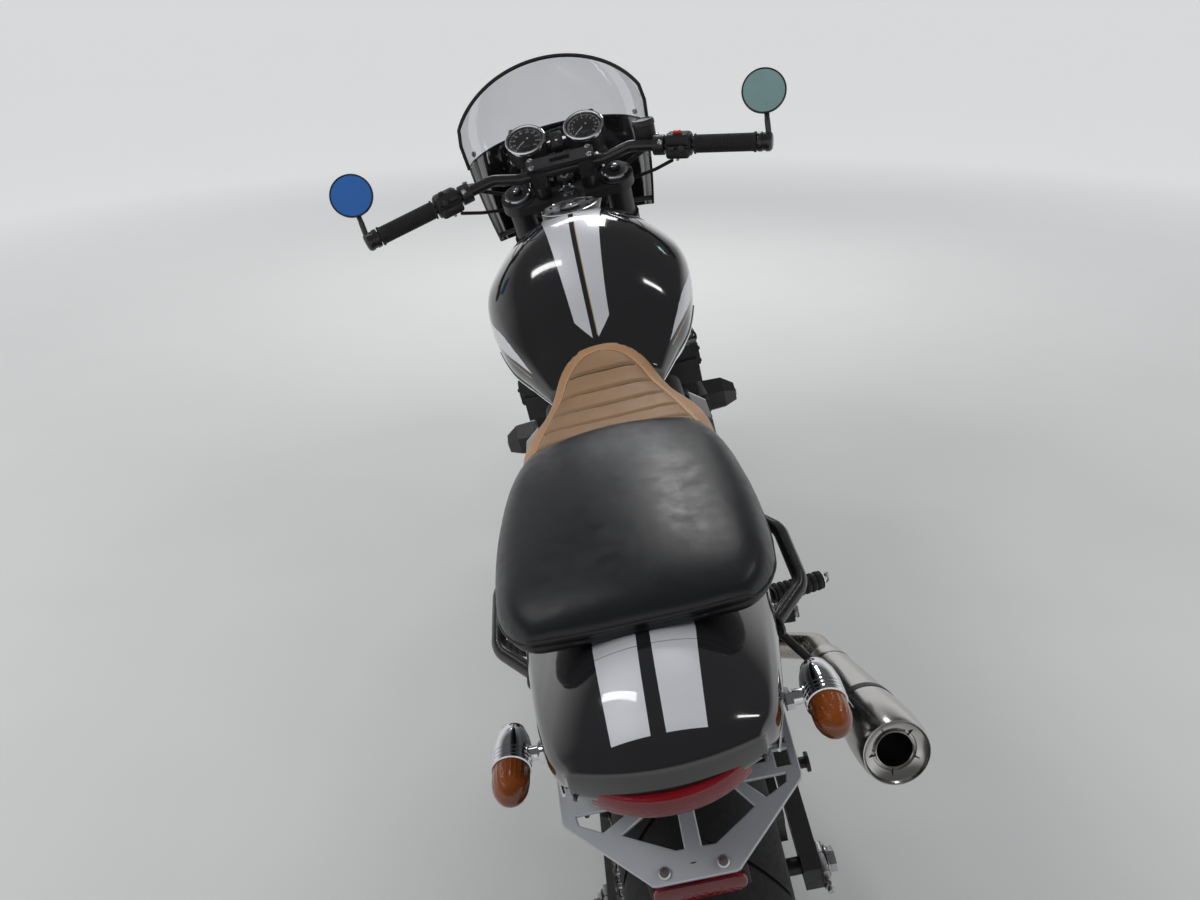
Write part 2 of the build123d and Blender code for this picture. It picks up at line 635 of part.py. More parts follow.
# Silencer: a reverse cone with a rolled outlet and inner pipe
silencer_plane = Plane(origin=SILENCER_IN, z_dir=silencer_way)
profile = [
    Line((24.5, 0), (31, 0)),
    Line((31, 0), (33, 30)),
    Line((33, 30), (50, silencer_long - 70)),
    ThreePointArc((50, silencer_long - 70), (51, silencer_long - 30), (48, silencer_long)),
    Line((48, silencer_long), (42, silencer_long)),
    Line((42, silencer_long), (34, silencer_long - 26)),
    Line((34, silencer_long - 26), (26, silencer_long - 26)),
    Line((26, silencer_long - 26), (26, silencer_long - 12)),
    Line((26, silencer_long - 12), (23, silencer_long - 12)),
    Line((23, silencer_long - 12), (23, silencer_long - 120)),
    Line((23, silencer_long - 120), (24.5, silencer_long - 120)),
    Line((24.5, silencer_long - 120), (24.5, 0)),
]
silencer = silencer_plane * revolve(Plane.XZ * make_face(profile), axis=Axis.Z)
silencer += rod((155, -334, 430), (240, -410, 330), 7)

# Fuel tank with a tunnel over the frame
tank_rows = [
    # y, half width, waist, top, foot, foot half width, shoulder radius
    (326, 92, 868, 916, 838, 80, 26),
    (296, 138, 862, 958, 800, 118, 50),
    (232, 172, 864, 988, 778, 150, 66),
    (110, 186, 866, 986, 770, 160, 66),
    (0, 164, 832, 926, 764, 140, 50),
    (-64, 128, 800, 858, 760, 108, 34),
    (-116, 96, 776, 812, 758, 84, 20),
]
tank_full = skin(tank_rows)
tunnel = block(0, 90, 790, 176, 520, 100, 20)
tunnel_nose = block(0, 330, 830, 150, 140, 80)
fuel_tank = tank_full - tunnel - tunnel_nose - frame_body
fuel_tank = fuel_tank.solids().sort_by(SortBy.VOLUME)[-1]
cap_top = 990.0
keep("fuel_tank", fuel_tank - Pos(0, TANK_CAP_Y, cap_top - 6) * Cylinder(CAP_R + FIT, 20))
fuel_cap = Pos(0, TANK_CAP_Y, cap_top - 6) * Cylinder(CAP_R, 20)
keep("fuel_cap", fuel_cap - Pos(0, TANK_CAP_Y, cap_top + 2) * Cylinder(30, 6))

# Saddle, pillion pad and their base
pad_rows = [
    (-352, 92, tail_z + 136, tail_z + 150, tail_z + 130, 88, 8),
    (-392, 132, tail_z + 140, tail_z + 168, tail_z + 124, 126, 18),
    (-480, 148, tail_z + 142, tail_z + 180, tail_z + 122, 142, 24),
    (-600, 153, tail_z + 142, tail_z + 184, tail_z + 122, 147, 26),
    (-720, 140, tail_z + 146, tail_z + 184, tail_z + 126, 134, 24),
    (-772, 118, tail_z + 154, tail_z + 176, tail_z + 134, 112, 14),
]
pad = skin(pad_rows)
saddle_rows = [
    (-56, 34, 832, 850, 822, 30, 10),
    (-110, 62, 790, 822, 768, 60, 20),
    (-190, 110, seat_mid_z, seat_mid_z + 42, seat_mid_z - 20, 112, 24),
    (-280, 144, tail_z + 90, tail_z + 130, tail_z + 72, 140, 26),
    (-372, 138, tail_z + 100, tail_z + 142, tail_z + 76, 132, 26),
]
saddle = skin(saddle_rows)
saddle -= Pos(0, -SEAT_CLEAR, SEAT_CLEAR) * tank_full
saddle -= Pos(0, SEAT_CLEAR, -SEAT_CLEAR) * pad
saddle -= both(pipe(rail_path, RAIL_R + RAIL_ROOM, 60))
saddle = saddle.solids().sort_by(SortBy.VOLUME)[-1]
keep("rider_seat", saddle)
seat_base = block(0, -248, rail_z + 13, 196, 240, 5)
seat_base -= subframe_body
seat_base -= saddle

# Tail cowl: a hump open below
tail_rows = [
    (-376, 130, tail_z + 70, tail_z + 122, tail_z + 34, 128, 20),
    (-585, 147, tail_z + 50, tail_z + 120, tail_z - 16, 138, 30),
    (-779, 126, tail_z + 86, tail_z + 146, tail_z + 34, 118, 26),
    (-880, 106, tail_z + 100, tail_z + 138, tail_z + 70, 100, 18),
    (-922, 90, tail_z + 106, tail_z + 126, tail_z + 86, 86, 9),
]
tail_inside = [
    (-370, 130 - SHELL, tail_z + 60, tail_z + 122 - SHELL, tail_z - 66, 128 - SHELL, 20),
    (-585, 147 - SHELL, tail_z + 44, tail_z + 120 - SHELL, tail_z - 106, 138 - SHELL, 30),
    (-779, 126 - SHELL, tail_z + 76, tail_z + 146 - SHELL, tail_z - 66, 118 - SHELL, 26),
    (-870, 106 - SHELL, tail_z + 86, tail_z + 138 - SHELL, tail_z - 26, 100 - SHELL, 18),
]
tail = skin(tail_rows)
tail -= skin(tail_inside)
tail -= Pos(0, -SEAT_CLEAR, -SEAT_CLEAR) * pad
tail -= saddle
tail = tail.solids().sort_by(SortBy.VOLUME)[-1]
keep("tail_cowl", tail)
keep("pillion_pad", pad - tail)

undertray = block(0, -630, tail_z + 2, 194, 420, 4)
for side in (-1, 1):
    undertray += block(side * 95, -600, tail_z + 24, 4, 340, 44)
undertray += block(0, -852, tail_z + 10, 150, 60, 20)
undertray = (undertray - subframe_body - tail).solids().sort_by(SortBy.VOLUME)[-1]
seat_base = seat_base.solids().sort_by(SortBy.VOLUME)[-1]
keep("undertray", undertray, seat_base)

lamp_strip = extrude(
    Plane.XY.offset(tail_z + 76) * make_face([
        ThreePointArc((-72, -908), (0, -936), (72, -908)),
        Line((72, -908), (66, -886)),
        ThreePointArc((66, -886), (0, -908), (-66, -886)),
        Line((-66, -886), (-72, -908)),
    ]),
    24,
)

# Number plate bracket, reflector and indicators
bracket_plane = Plane(origin=(0, -812, tail_z + 14), x_dir=(1, 0, 0), z_dir=(0, -0.407, 0.914))
bracket = extrude(
    bracket_plane * make_face(Polyline(
        (-120, 24), (120, 24), (120, -45), (42, -118), (-42, -118), (-120, -45), close=True
    )),
    PLATE_THICK,
)
bracket_windows = [
    # corners in the plate's plane
    [(-105, -41), (-41, -41), (-80, -61), (-103, -50)],
    [(-63, -67), (-16, -41), (-6, -41), (-6, -90), (-14, -90)],
    [(10, -41), (50, -41), (68, -65), (24, -91), (11, -90)],
    [(64, -41), (105, -41), (103, -49), (81, -59)],
    [(-92, 16), (92, 16), (92, -26), (-92, -26)],
]
for window in bracket_windows:
    bracket -= extrude(bracket_plane * make_face(Polyline(*window, close=True)), 20, both=True)
for side in (-1, 1):
    bracket -= bracket_plane * Pos(side * PLATE_HOLE_X, PLATE_HOLE_Y, 0) * Cylinder(PLATE_HOLE_R, 30)
keep("plate_bracket", bracket - undertray - lamp_strip - tail)
reflector = block(0, -908, tail_z - 62, 92, 9, 24, 3) + rod((0, -906, tail_z - 54), (0, -906, tail_z - 24), 6)
keep("rear_lamps", lamp_strip - tail, reflector - bracket)


def bullet(long_body, long_lens, radius):
    """An indicator of bullet form along y, with its lens towards -y and its middle at the origin."""
    tip = 0.15 * radius
    profile = [
        Line((0, -long_lens), (radius * 0.5, -long_lens)),
        ThreePointArc(
            (radius * 0.5, -long_lens), (radius * 0.88, -long_lens * 0.9), (radius, -long_lens * 0.6)
        ),
        Line((radius, -long_lens * 0.6), (radius, long_body * 0.3)),
        ThreePointArc((radius, long_body * 0.3), (radius * 0.8, long_body * 0.72), (tip, long_body)),
        Line((tip, long_body), (0, long_body)),
        Line((0, long_body), (0, -long_lens)),
    ]
    return revolve(make_face(profile), axis=Axis.Y)


indicator_stalk = rod((INDICATOR_X - 10, INDICATOR_Y, indicator_z), (110, INDICATOR_Y, indicator_z), 8)
indicator = Pos(INDICATOR_X, INDICATOR_Y, indicator_z) * bullet(42, 58, INDICATOR_R) + indicator_stalk
keep("rear_indicators", both(indicator - tail))

grab = pipe(
    [(140, -470, tail_z + 58), (182, -526, tail_z + 52), (186, -612, tail_z + 30), (140, -664, tail_z + 26)],
    9,
    24,
)
grab -= tail
keep("grab_rails", both(grab.solids().sort_by(SortBy.VOLUME)[-1]))

# Swingarm with its pivot tube, bridge and spools
arm_path = [
    (56, PIVOT_Y - 4, PIVOT_Z), (60, -296, 385), (ARM_X, -398, 368), (ARM_X, REAR_AXLE_Y - 24, rear_axle_z),
]
pivot_tube_half = PIVOT_X - PIVOT_PLATE / 2 - 1
swing = disc(0, PIVOT_Y, PIVOT_Z, 24, 2 * pivot_tube_half)
half_arm = Part()
for first, last in zip(arm_path[:-1], arm_path[1:]):
    run = Vector(*last) - Vector(*first)
    base = Plane(origin=first, z_dir=run, x_dir=(0, 0, 1))
    half_arm += base * Pos(0, 0, run.length / 2) * Box(ARM_HIGH, ARM_WIDE, run.length)
for corner in arm_path[1:-1]:
    half_arm += Pos(*corner) * Cylinder(ARM_WIDE / 2, ARM_HIGH)
SPOOL_MID = ARM_X + ARM_WIDE / 2 + SPOOL_LONG / 2
spool = disc(SPOOL_MID - 2, SPOOL_Y, SPOOL_Z, SPOOL_R, SPOOL_LONG + 4)
spool += disc(SPOOL_MID + SPOOL_LONG / 2 + 2.5, SPOOL_Y, SPOOL_Z, SPOOL_R + 6, 5)
half_arm += spool
for solid in both(half_arm).solids():
    swing += solid
swing += disc(0, -322, 382, 20, 2 * 66)
guard_x = CHAIN_X - CHAIN_WIDE / 2 - 7
swing += side_plate([(-372, 418), (-640, 406), (-650, 434), (-360, 446)], guard_x, 3)
swing += side_plate([(-650, 431), (-360, 443), (-360, 446), (-650, 434)], CHAIN_X - 1, 26)
for y in (-430, -600):
    swing += rod((-ARM_X, y, 360), (guard_x, y, 424), 5)
swing += block(0, -330, 408, 40, 34, 30)
swing -= disc(0, PIVOT_Y, PIVOT_Z, PIVOT_PIN_R + FIT, 300)
swing -= disc(0, REAR_AXLE_Y, rear_axle_z, AXLE_R + FIT, 400)
keep("swingarm", swing)
pivot_half = PIVOT_X + PIVOT_PLATE / 2 + 8
pivot_bolt = disc(0, PIVOT_Y, PIVOT_Z, PIVOT_PIN_R, 2 * pivot_half)
for side in (-1, 1):
    pivot_bolt += disc(side * (pivot_half - 3), PIVOT_Y, PIVOT_Z, PIVOT_PIN_R + 6, 6)
rear_axle_half = ARM_X + ARM_WIDE / 2 + 10
rear_axle = disc(0, REAR_AXLE_Y, rear_axle_z, AXLE_R, 2 * rear_axle_half)
for side in (-1, 1):
    rear_axle += disc(side * (rear_axle_half - 4), REAR_AXLE_Y, rear_axle_z, AXLE_R + 6, 8)
keep("rear_axle_and_pivot_bolt", rear_axle, pivot_bolt)

# Rear shock: one spring unit between frame and swingarm
shock_high = (0, -196, 640)
shock_low = (0, -330, 423)
shock = rod(shock_high, shock_low, 12)
shock_plane = Plane(origin=shock_high, z_dir=Vector(*shock_low) - Vector(*shock_high))
shock += shock_plane * Pos(0, 0, 130) * Cylinder(27, 165)
keep("rear_shock", shock - frame_body - swing)


def chain_loop(front_r, rear_r):
    """A belt outline in (y, z) round the two sprocket centres: two tangent runs and two arcs."""
    span = Vector(REAR_AXLE_Y - COUNTERSHAFT_Y, rear_axle_z - COUNTERSHAFT_Z)
    base = atan2(span.Y, span.X)
    lead = asin((rear_r - front_r) / span.length)
    ends = []
    for sign in (1, -1):
        angle = base + sign * (pi / 2 - lead)
        for centre_y, centre_z, radius in (
            (COUNTERSHAFT_Y, COUNTERSHAFT_Z, front_r), (REAR_AXLE_Y, rear_axle_z, rear_r),
        ):
            ends.append((centre_y + radius * cos(angle), centre_z + radius * sin(angle)))
    front_back = (COUNTERSHAFT_Y - front_r * cos(base), COUNTERSHAFT_Z - front_r * sin(base))
    rear_back = (REAR_AXLE_Y + rear_r * cos(base), rear_axle_z + rear_r * sin(base))
    return [
        Line(ends[0], ends[1]),
        ThreePointArc(ends[1], rear_back, ends[3]),
        Line(ends[3], ends[2]),
        ThreePointArc(ends[2], front_back, ends[0]),
    ]


# Chain: one loop round both sprockets, held clear of the rear sprocket
chain_plane = Plane(origin=(CHAIN_X - CHAIN_WIDE / 2, 0, 0), x_dir=(0, 1, 0), z_dir=(1, 0, 0))
chain_in = SPROCKET_R + CHAIN_GAP
chain_outside = chain_loop(FRONT_SPROCKET_R + CHAIN_HIGH, chain_in + CHAIN_HIGH)
chain = extrude(chain_plane * make_face(chain_outside), CHAIN_WIDE)
chain -= extrude(chain_plane * make_face(chain_loop(FRONT_SPROCKET_R, chain_in)), CHAIN_WIDE)
keep("drive_chain", chain - sprocket_cover)

# Front indicators on stalks from the lamp stays
front_bullet = Pos(150, 535, 818) * Rot(0, 0, 180) * bullet(38, 44, 18)
front_bullet += rod((FORK_X + 10, 489, 814), (150, 535, 818), 6) - steer * fork_leg
keep("front_indicators", both(front_bullet))

# Control cables and hoses, held from the bars to the lower yoke and down the fork to the calipers
cable_runs = [
    # start under the switchgear or lever, then the loop ahead of the fork, to the lower yoke
    ([(-192, 396, 1034), (-170, 462, 1012), (-84, 500, 968), (-44, 484, 852)], 4.0),
    ([(-214, 352, 1004), (-184, 430, 978), (-76, 488, 952), (-26, 486, 846)], 3.5),
    ([(214, 352, 1004), (184, 430, 978), (76, 488, 952), (26, 486, 846)], 3.5),
    ([(178, 396, 1032), (164, 462, 1012), (84, 500, 968), (44, 484, 852)], 4.5),
]
cables = []
for points, radius in cable_runs:
    cables.append(pipe(points, radius, 24) - yokes - both(lever_perch) - both(switch))
hose = steer * pipe([(FORK_X, 4, -98), (FORK_X, 6, -440), (front_disc_x + 14, -62, -572)], 3.5, 40)
cables.append(both(hose - yokes - caliper - steer * fork_leg))
keep("control_cables", *cables)

# Rear caliper over the disc, on its bracket inside the right arm
rear_cal = Box(2 * DISC_GAP + DISC_THICK + 26, 84, 50)
rear_cal = fillet(rear_cal.edges().filter_by(Axis.X), 12)
rear_cal -= Pos(0, 0, -12) * Box(2 * DISC_GAP + DISC_THICK, 100, 50)
rear_cal = Pos(rear_disc_x, REAR_AXLE_Y + 34, rear_axle_z + 112) * Rot(18, 0, 0) * rear_cal
bracket_arm = block(rear_disc_x + 17, REAR_AXLE_Y + 40, rear_axle_z + 70, 10, 44, 84)
rear_cal += bracket_arm
rear_cal -= rear_place * ring(REAR_DISC_R + DISC_GAP, 10, DISC_THICK + 2 * DISC_GAP, rear_disc_x)
keep("rear_caliper", rear_cal - swing)

# Pegs, hangers and foot controls
hanger_outline = [(-160, 500), (-130, 410), (-128, 316), (-206, 316), (-214, 430), (-206, 500)]
hanger = side_plate(hanger_outline, HANGER_X, 10)
hanger_boss = rod((PIVOT_X, -186, 484), (HANGER_X, -186, 484), 10) - frame_body
peg = rod((HANGER_X, -190, 344), (HANGER_X + 20, -190, 344), 10)
peg += rod((HANGER_X + 20, -190, 344), (HANGER_X + 96, -190, 346), 14)
rider_side = hanger + peg
rear_hanger_outline = [(-300, 640), (-262, 560), (-300, 420), (-380, 430), (-372, 470), (-322, 600)]
rear_hanger = side_plate(rear_hanger_outline, 150, 10)
rear_peg = rod((155, -322, 446), (182, -318, 444), 9) + rod((182, -318, 444), (266, -296, 436), 14)
rear_knob = rod((155, -366, 448), (205, -370, 446), 15)
link = rod((104, -294, 626), (147, -294, 626), 9) - subframe_body
keep("silencer", silencer - rear_hanger - rear_knob)

keep("pillion_pegs", both(rear_hanger + rear_peg + rear_knob + link))
pedal = pipe([(HANGER_X + 10, -146, 334), (194, -90, 316), (222, -30, 312), (226, 44, 326)], 7, (30, 40))
pedal += disc(HANGER_X + 12, -146, 334, 12, 16)
pedal += disc(226, 44, 326, 9, 34)
keep("rider_footrests", both(rider_side + hanger_boss + pedal))

# Frame sliders beside the engine
slider = loft([
    Plane(origin=(175.2, 200, 560), z_dir=(1, 0, 0)) * RegularPolygon(36, 6),
    Plane(origin=(214, 200, 560), z_dir=(1, 0, 0)) * RegularPolygon(34, 6),
    Plane(origin=(238, 200, 556), z_dir=(1, 0, 0)) * RegularPolygon(20, 6),
], ruled=True)
keep("frame_sliders", both(slider))

# Side panels below the saddle
panel = loft([
    Plane(origin=(128, -170, 650), z_dir=(1, 0, 0)) * RectangleRounded(170, 150, 30),
    Plane(origin=(152, -165, 655), z_dir=(1, 0, 0)) * RectangleRounded(130, 110, 26),
])
panel += rod((106, -222, 592), (134, -222, 600), 8)
keep("side_panels", both(panel - frame_body - subframe_body))

# Side stand: leg, foot and pivot eye, and the bracket that carries it
foot_z = -STAND_FOOT[0] * lean_t
pivot = Vector(*STAND_PIVOT)
stand_axis = Vector(cos(radians(STAND_CANT)), 0, -sin(radians(STAND_CANT)))
foot_point = Vector(STAND_FOOT[0], STAND_FOOT[1], foot_z)
lean_s = sin(radians(LEAN))
floor_plane = Plane(origin=foot_point, x_dir=(lean_c, 0, -lean_s), z_dir=(lean_s, 0, lean_c))
foot_pad = floor_plane * Box(52, 62, 7, align=(Align.CENTER, Align.CENTER, Align.MIN))
leg_end = floor_plane.from_local_coords(Vector(0, 0, 8))
stand_plane = Plane(origin=STAND_PIVOT, z_dir=stand_axis)
leg_top = pivot + stand_axis * -12
stand = stand_plane * Pos(0, 0, -6) * Cylinder(19, 24) + rod(leg_top, leg_end, STAND_LEG_R) + foot_pad
stand -= stand_plane * Pos(0, 0, 30) * Cylinder(60, 48)
stand -= stand_plane * Cylinder(STAND_PIN_R + FIT, 80)
stand -= stand_plane * Pos(0, 0, -38.3) * Cylinder(STAND_PIN_R + 3.5, 40)
keep("side_stand", stand)
stand_bracket = stand_plane * Pos(0, 0, 12.5) * Cylinder(19, 12)
stand_bracket += rod(pivot + stand_axis * 14, (-92, STAND_PIVOT[1], 226), 12)
stand_bracket += stand_plane * Pos(0, 0, -2) * Cylinder(STAND_PIN_R, 39)
stand_bracket += stand_plane * Pos(0, 0, -20) * Cylinder(STAND_PIN_R + 3, 3)
keep("main_frame", frame_body + stand_bracket)


# Lean the whole machine over, then put the origin under the middle of its box
leaned = {}
for name, solids in nodes.items():
    leaned[name] = [Rot(0, -LEAN, 0) * solid for solid in solids]
every = Compound([solid for solids in leaned.values() for solid in solids])
extent = every.bounding_box()
shift = Pos(-(extent.min.X + extent.max.X) / 2, -(extent.min.Y + extent.max.Y) / 2, -extent.min.Z)

os.makedirs("parts", exist_ok=True)
for name, solids in leaned.items():
    export_step(Compound([shift * solid for solid in solids]), f"parts/{name}.step")
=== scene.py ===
import json
from math import asin, atan2, cos, degrees, hypot, pi, radians, sin, sqrt, tan

import bmesh
import bpy
import numpy as np
from mathutils import Matrix, Vector
from mathutils.bvhtree import BVHTree


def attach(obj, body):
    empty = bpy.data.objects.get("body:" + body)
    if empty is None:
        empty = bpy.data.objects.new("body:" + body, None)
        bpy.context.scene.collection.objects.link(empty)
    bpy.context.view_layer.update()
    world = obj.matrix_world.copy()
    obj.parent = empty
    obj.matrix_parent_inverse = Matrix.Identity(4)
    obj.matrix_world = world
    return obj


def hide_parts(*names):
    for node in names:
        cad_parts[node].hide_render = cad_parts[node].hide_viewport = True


# A cafe racer motorcycle leaning on its side stand. Own pieces are built on the upright machine in
# millimetres (x right, y forward, z up) and their objects carry the lean and the scale.

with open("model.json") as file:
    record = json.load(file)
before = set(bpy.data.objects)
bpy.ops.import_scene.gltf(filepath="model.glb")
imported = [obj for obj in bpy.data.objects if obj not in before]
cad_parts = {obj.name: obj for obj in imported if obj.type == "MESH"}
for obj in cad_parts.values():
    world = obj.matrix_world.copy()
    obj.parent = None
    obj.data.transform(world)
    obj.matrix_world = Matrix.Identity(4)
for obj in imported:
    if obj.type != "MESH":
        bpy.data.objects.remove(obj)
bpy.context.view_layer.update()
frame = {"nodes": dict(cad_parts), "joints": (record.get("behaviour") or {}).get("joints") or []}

LEAN = radians(12)
REAR_AXLE = Vector((0, -703, 317.06))
FRONT_AXLE = Vector((0, 727, 301.34))
# Tyres: outer radius, crown radius, half width of the tread and of the bead
REAR_TYRE = (315.0, 92.0, 88.0, 72.0)
FRONT_TYRE = (300.0, 60.0, 57.0, 47.0)
BEAD_R = 216.0

MM = 0.001
PER_METRE = 1000
rear_hub = next(Vector(joint["pos_m"]) for joint in frame["joints"] if joint["name"] == "rear_wheel_spin")
turn = Matrix.Rotation(-LEAN, 4, "Y")
shift = rear_hub - turn @ (REAR_AXLE * MM)
TO_ROW = Matrix.Translation(shift) @ turn @ Matrix.Scale(MM, 4)


# Places

def at(x=0.0, y=0.0, z=0.0, rx=0.0, ry=0.0, rz=0.0):
    """A place on the upright machine, turned about x, then y, then z, in degrees."""
    spin = Matrix.Rotation(radians(rz), 4, "Z") @ Matrix.Rotation(radians(ry), 4, "Y")
    return Matrix.Translation((x, y, z)) @ spin @ Matrix.Rotation(radians(rx), 4, "X")


def aim(origin, way, side=(1, 0, 0)):
    """A place whose z axis points along way and whose x axis is as near to side as it can be."""
    up = Vector(way).normalized()
    across = Vector(side) - up * Vector(side).dot(up)
    if across.length < 1e-6:
        across = up.orthogonal()
    across.normalize()
    turned = Matrix((across, up.cross(across), up)).transposed()
    return Matrix.Translation(origin) @ turned.to_4x4()


def sided(side):
    """Keeps what is on the right for side 1 and mirrors it to the left for side -1."""
    return Matrix.Diagonal((side, 1, 1, 1))


def round_points(count, radius, start=0.0):
    """Points (x, y) at equal steps round a circle."""
    turns = [2 * pi * k / count + start for k in range(count)]
    return [(radius * cos(a), radius * sin(a)) for a in turns]


# Shapes: each is a list of points and a list of faces

def stack(rings, loop=False, ends=True, around=True):
    """Rings of points joined by quads. loop joins the last ring to the first."""
    count = len(rings[0])
    points = [tuple(p) for ring in rings for p in ring]
    faces = []
    last = len(rings) if loop else len(rings) - 1
    span = count if around else count - 1
    for i in range(last):
        a, b = i * count, (i + 1) % len(rings) * count
        for k in range(span):
            n = (k + 1) % count
            faces.append((a + k, a + n, b + n, b + k))
    if ends and not loop and around:
        faces.append(tuple(range(count))[::-1])
        faces.append(tuple(range(len(points) - count, len(points))))
    return points, faces


def lathe(profile, steps=48, loop=False, ends=True):
    """A profile of (radius, height) turned about z."""
    rings = [[(x, y, high) for x, y in round_points(steps, radius)] for radius, high in profile]
    return stack(rings, loop=loop, ends=ends)


def smooth(rows, steps):
    """Rows of numbers with others between them, on a smooth curve through them all."""
    rows = [np.array(row, float) for row in rows]
    ends = [2 * rows[0] - rows[1]] + rows + [2 * rows[-1] - rows[-2]]
    found = []
    for i in range(len(rows) - 1):
        a, b, c, d = ends[i:i + 4]
        for k in range(steps):
            t = k / steps
            square, cube = 2 * a - 5 * b + 4 * c - d, 3 * b - a - 3 * c + d
            found.append(0.5 * (2 * b + (c - a) * t + square * t * t + cube * t ** 3))
    return found + [rows[-1]]


def curve(points, steps=8):
    return [Vector(p) for p in smooth(points, steps)]


def bent(points, radius, steps=8):
    """Straight runs joined by arcs of one radius."""
    points = [Vector(p) for p in points]
    found = [points[0]]
    for before, corner, after in zip(points[:-2], points[1:-1], points[2:]):
        back = (before - corner).normalized()
        ahead = (after - corner).normalized()
        half = back.angle(ahead) / 2
        centre = corner + (back + ahead).normalized() * (radius / sin(half))
        first = corner + back * (radius / tan(half)) - centre
        last = corner + ahead * (radius / tan(half)) - centre
        angle = first.angle(last)
        for k in range(steps + 1):
            t = k / steps
            found.append(centre + (first * sin((1 - t) * angle) + last * sin(t * angle)) / sin(angle))
    return found + [points[-1]]


def tube(path, radius, sides=16, ends=True):
    """A round tube along points, with one radius or one for each point."""
    path = [Vector(p) for p in path]
    radii = radius if isinstance(radius, (list, tuple)) else [radius] * len(path)
    side = (path[1] - path[0]).orthogonal().normalized()
    rings = []
    for i, point in enumerate(path):
        ahead = (path[min(i + 1, len(path) - 1)] - path[max(i - 1, 0)]).normalized()
        side = (side - ahead * side.dot(ahead)).normalized()
        other = ahead.cross(side)
        ring = []
        for k in range(sides):
            angle = 2 * pi * k / sides
            ring.append(point + (side * cos(angle) + other * sin(angle)) * radii[i])
        rings.append(ring)
    return stack(rings, ends=ends)


def from_bmesh(bm):
    points = [tuple(v.co) for v in bm.verts]
    faces = [tuple(v.index for v in face.verts) for face in bm.faces]
    bm.free()
    return points, faces


def block(wide, long, high, edge=0.0, cuts=2):
    """A box with rounded edges, centred on the origin."""
    bm = bmesh.new()
    bmesh.ops.create_cube(bm, size=1)
    bmesh.ops.scale(bm, vec=(wide, long, high), verts=bm.verts)
    if edge:
        bmesh.ops.bevel(bm, geom=bm.edges[:], offset=edge, segments=cuts, profile=0.5, affect="EDGES")
    bm.verts.index_update()
    return from_bmesh(bm)


def prism(outline, thick, edge=0.0, cuts=2):
    """A flat plate of that outline in (x, y), centred in z, with its rims rounded."""
    bm = bmesh.new()
    low = [bm.verts.new((x, y, -thick / 2)) for x, y in outline]
    high = [bm.verts.new((x, y, thick / 2)) for x, y in outline]
    bm.faces.new(low[::-1])
    bm.faces.new(high)
    for i in range(len(outline)):
        n = (i + 1) % len(outline)
        bm.faces.new((low[i], low[n], high[n], high[i]))
    bmesh.ops.recalc_face_normals(bm, faces=bm.faces)
    if edge:
        rims = [e for e in bm.edges if abs(e.verts[0].co.z - e.verts[1].co.z) < 1e-6]
        bmesh.ops.bevel(bm, geom=rims, offset=edge, segments=cuts, profile=0.5, affect="EDGES")
    bm.verts.index_update()
    return from_bmesh(bm)


def hexagon(across, high, edge=0.8):
    return prism(round_points(6, across / sqrt(3)), high, edge)


class Shape:
    """A mesh made of several parts, each with its own finish number."""

    def __init__(self):
        self.points = []
        self.faces = []
        self.finishes = []

    def add(self, part, place=None, finish=0):
        points, faces = part
        start = len(self.points)
        if place is None:
            self.points.extend(points)
        else:
            self.points.extend(tuple(place @ Vector(p)) for p in points)
        self.faces.extend(tuple(start + i for i in face) for face in faces)
        self.finishes.extend([finish] * len(faces))
        return self

    def turned(self, profile, steps, place, finish=0, loop=False, ends=True):
        """A profile of (radius, height) turned about the place's z axis."""
        return self.add(lathe(profile, steps, loop, ends), place, finish)

    def bolt(self, place, across=10.0, high=6.0, finish=0, washer=True):
        """A hexagon head on a washer."""
        if washer:
            inner, outer = across * 0.2, across * 0.72
            self.turned([(inner, 0), (outer, 0), (outer, 1.2), (inner, 1.3)], 24, place, finish)
        self.add(hexagon(across, high), place @ at(z=high / 2 + 1), finish)

    def cap_screw(self, place, r, h, finish=0):
        """A round socket head of radius r and height h with its recess."""
        head = [(r, 0), (r, h * 0.8), (r * 0.86, h), (r * 0.55, h), (r * 0.5, h * 0.45), (0.01, h * 0.4)]
        self.turned(head, 20, place, finish)


def mesh_of(name, points, faces):
    mesh = bpy.data.meshes.new(name)
    mesh.from_pydata(points, [], faces)
    return mesh


def linked(name, data):
    """A new object in the scene, of that mesh, text, light or camera."""
    obj = bpy.data.objects.new(name, data)
    bpy.context.scene.collection.objects.link(obj)
    return obj


def build(name, shape, body, finishes, slot, nodes="", **looks):
    """Makes the object of a shape: on its body, with its finishes, in place of the CAD node it stands for."""
    mesh = mesh_of(name, shape.points, shape.faces)
    mesh.polygons.foreach_set("material_index", shape.finishes)
    bm = bmesh.new()
    bm.from_mesh(mesh)
    bmesh.ops.remove_doubles(bm, verts=bm.verts, dist=0.002)
    bmesh.ops.recalc_face_normals(bm, faces=bm.faces)
    bm.to_mesh(mesh)
    bm.free()
    dress(name, mesh, body, finishes, slot, nodes, **looks)


# Own pieces as they are made, and finishes by name
pieces = []
finish = {}


def settle():
    """Moves each piece's place into its mesh, so that its box is true in the row's frame."""
    for obj in pieces:
        obj.data.transform(TO_ROW)
        obj.matrix_world = Matrix.Identity(4)
        if "thick" in obj.modifiers:
            obj.modifiers["thick"].thickness *= MM


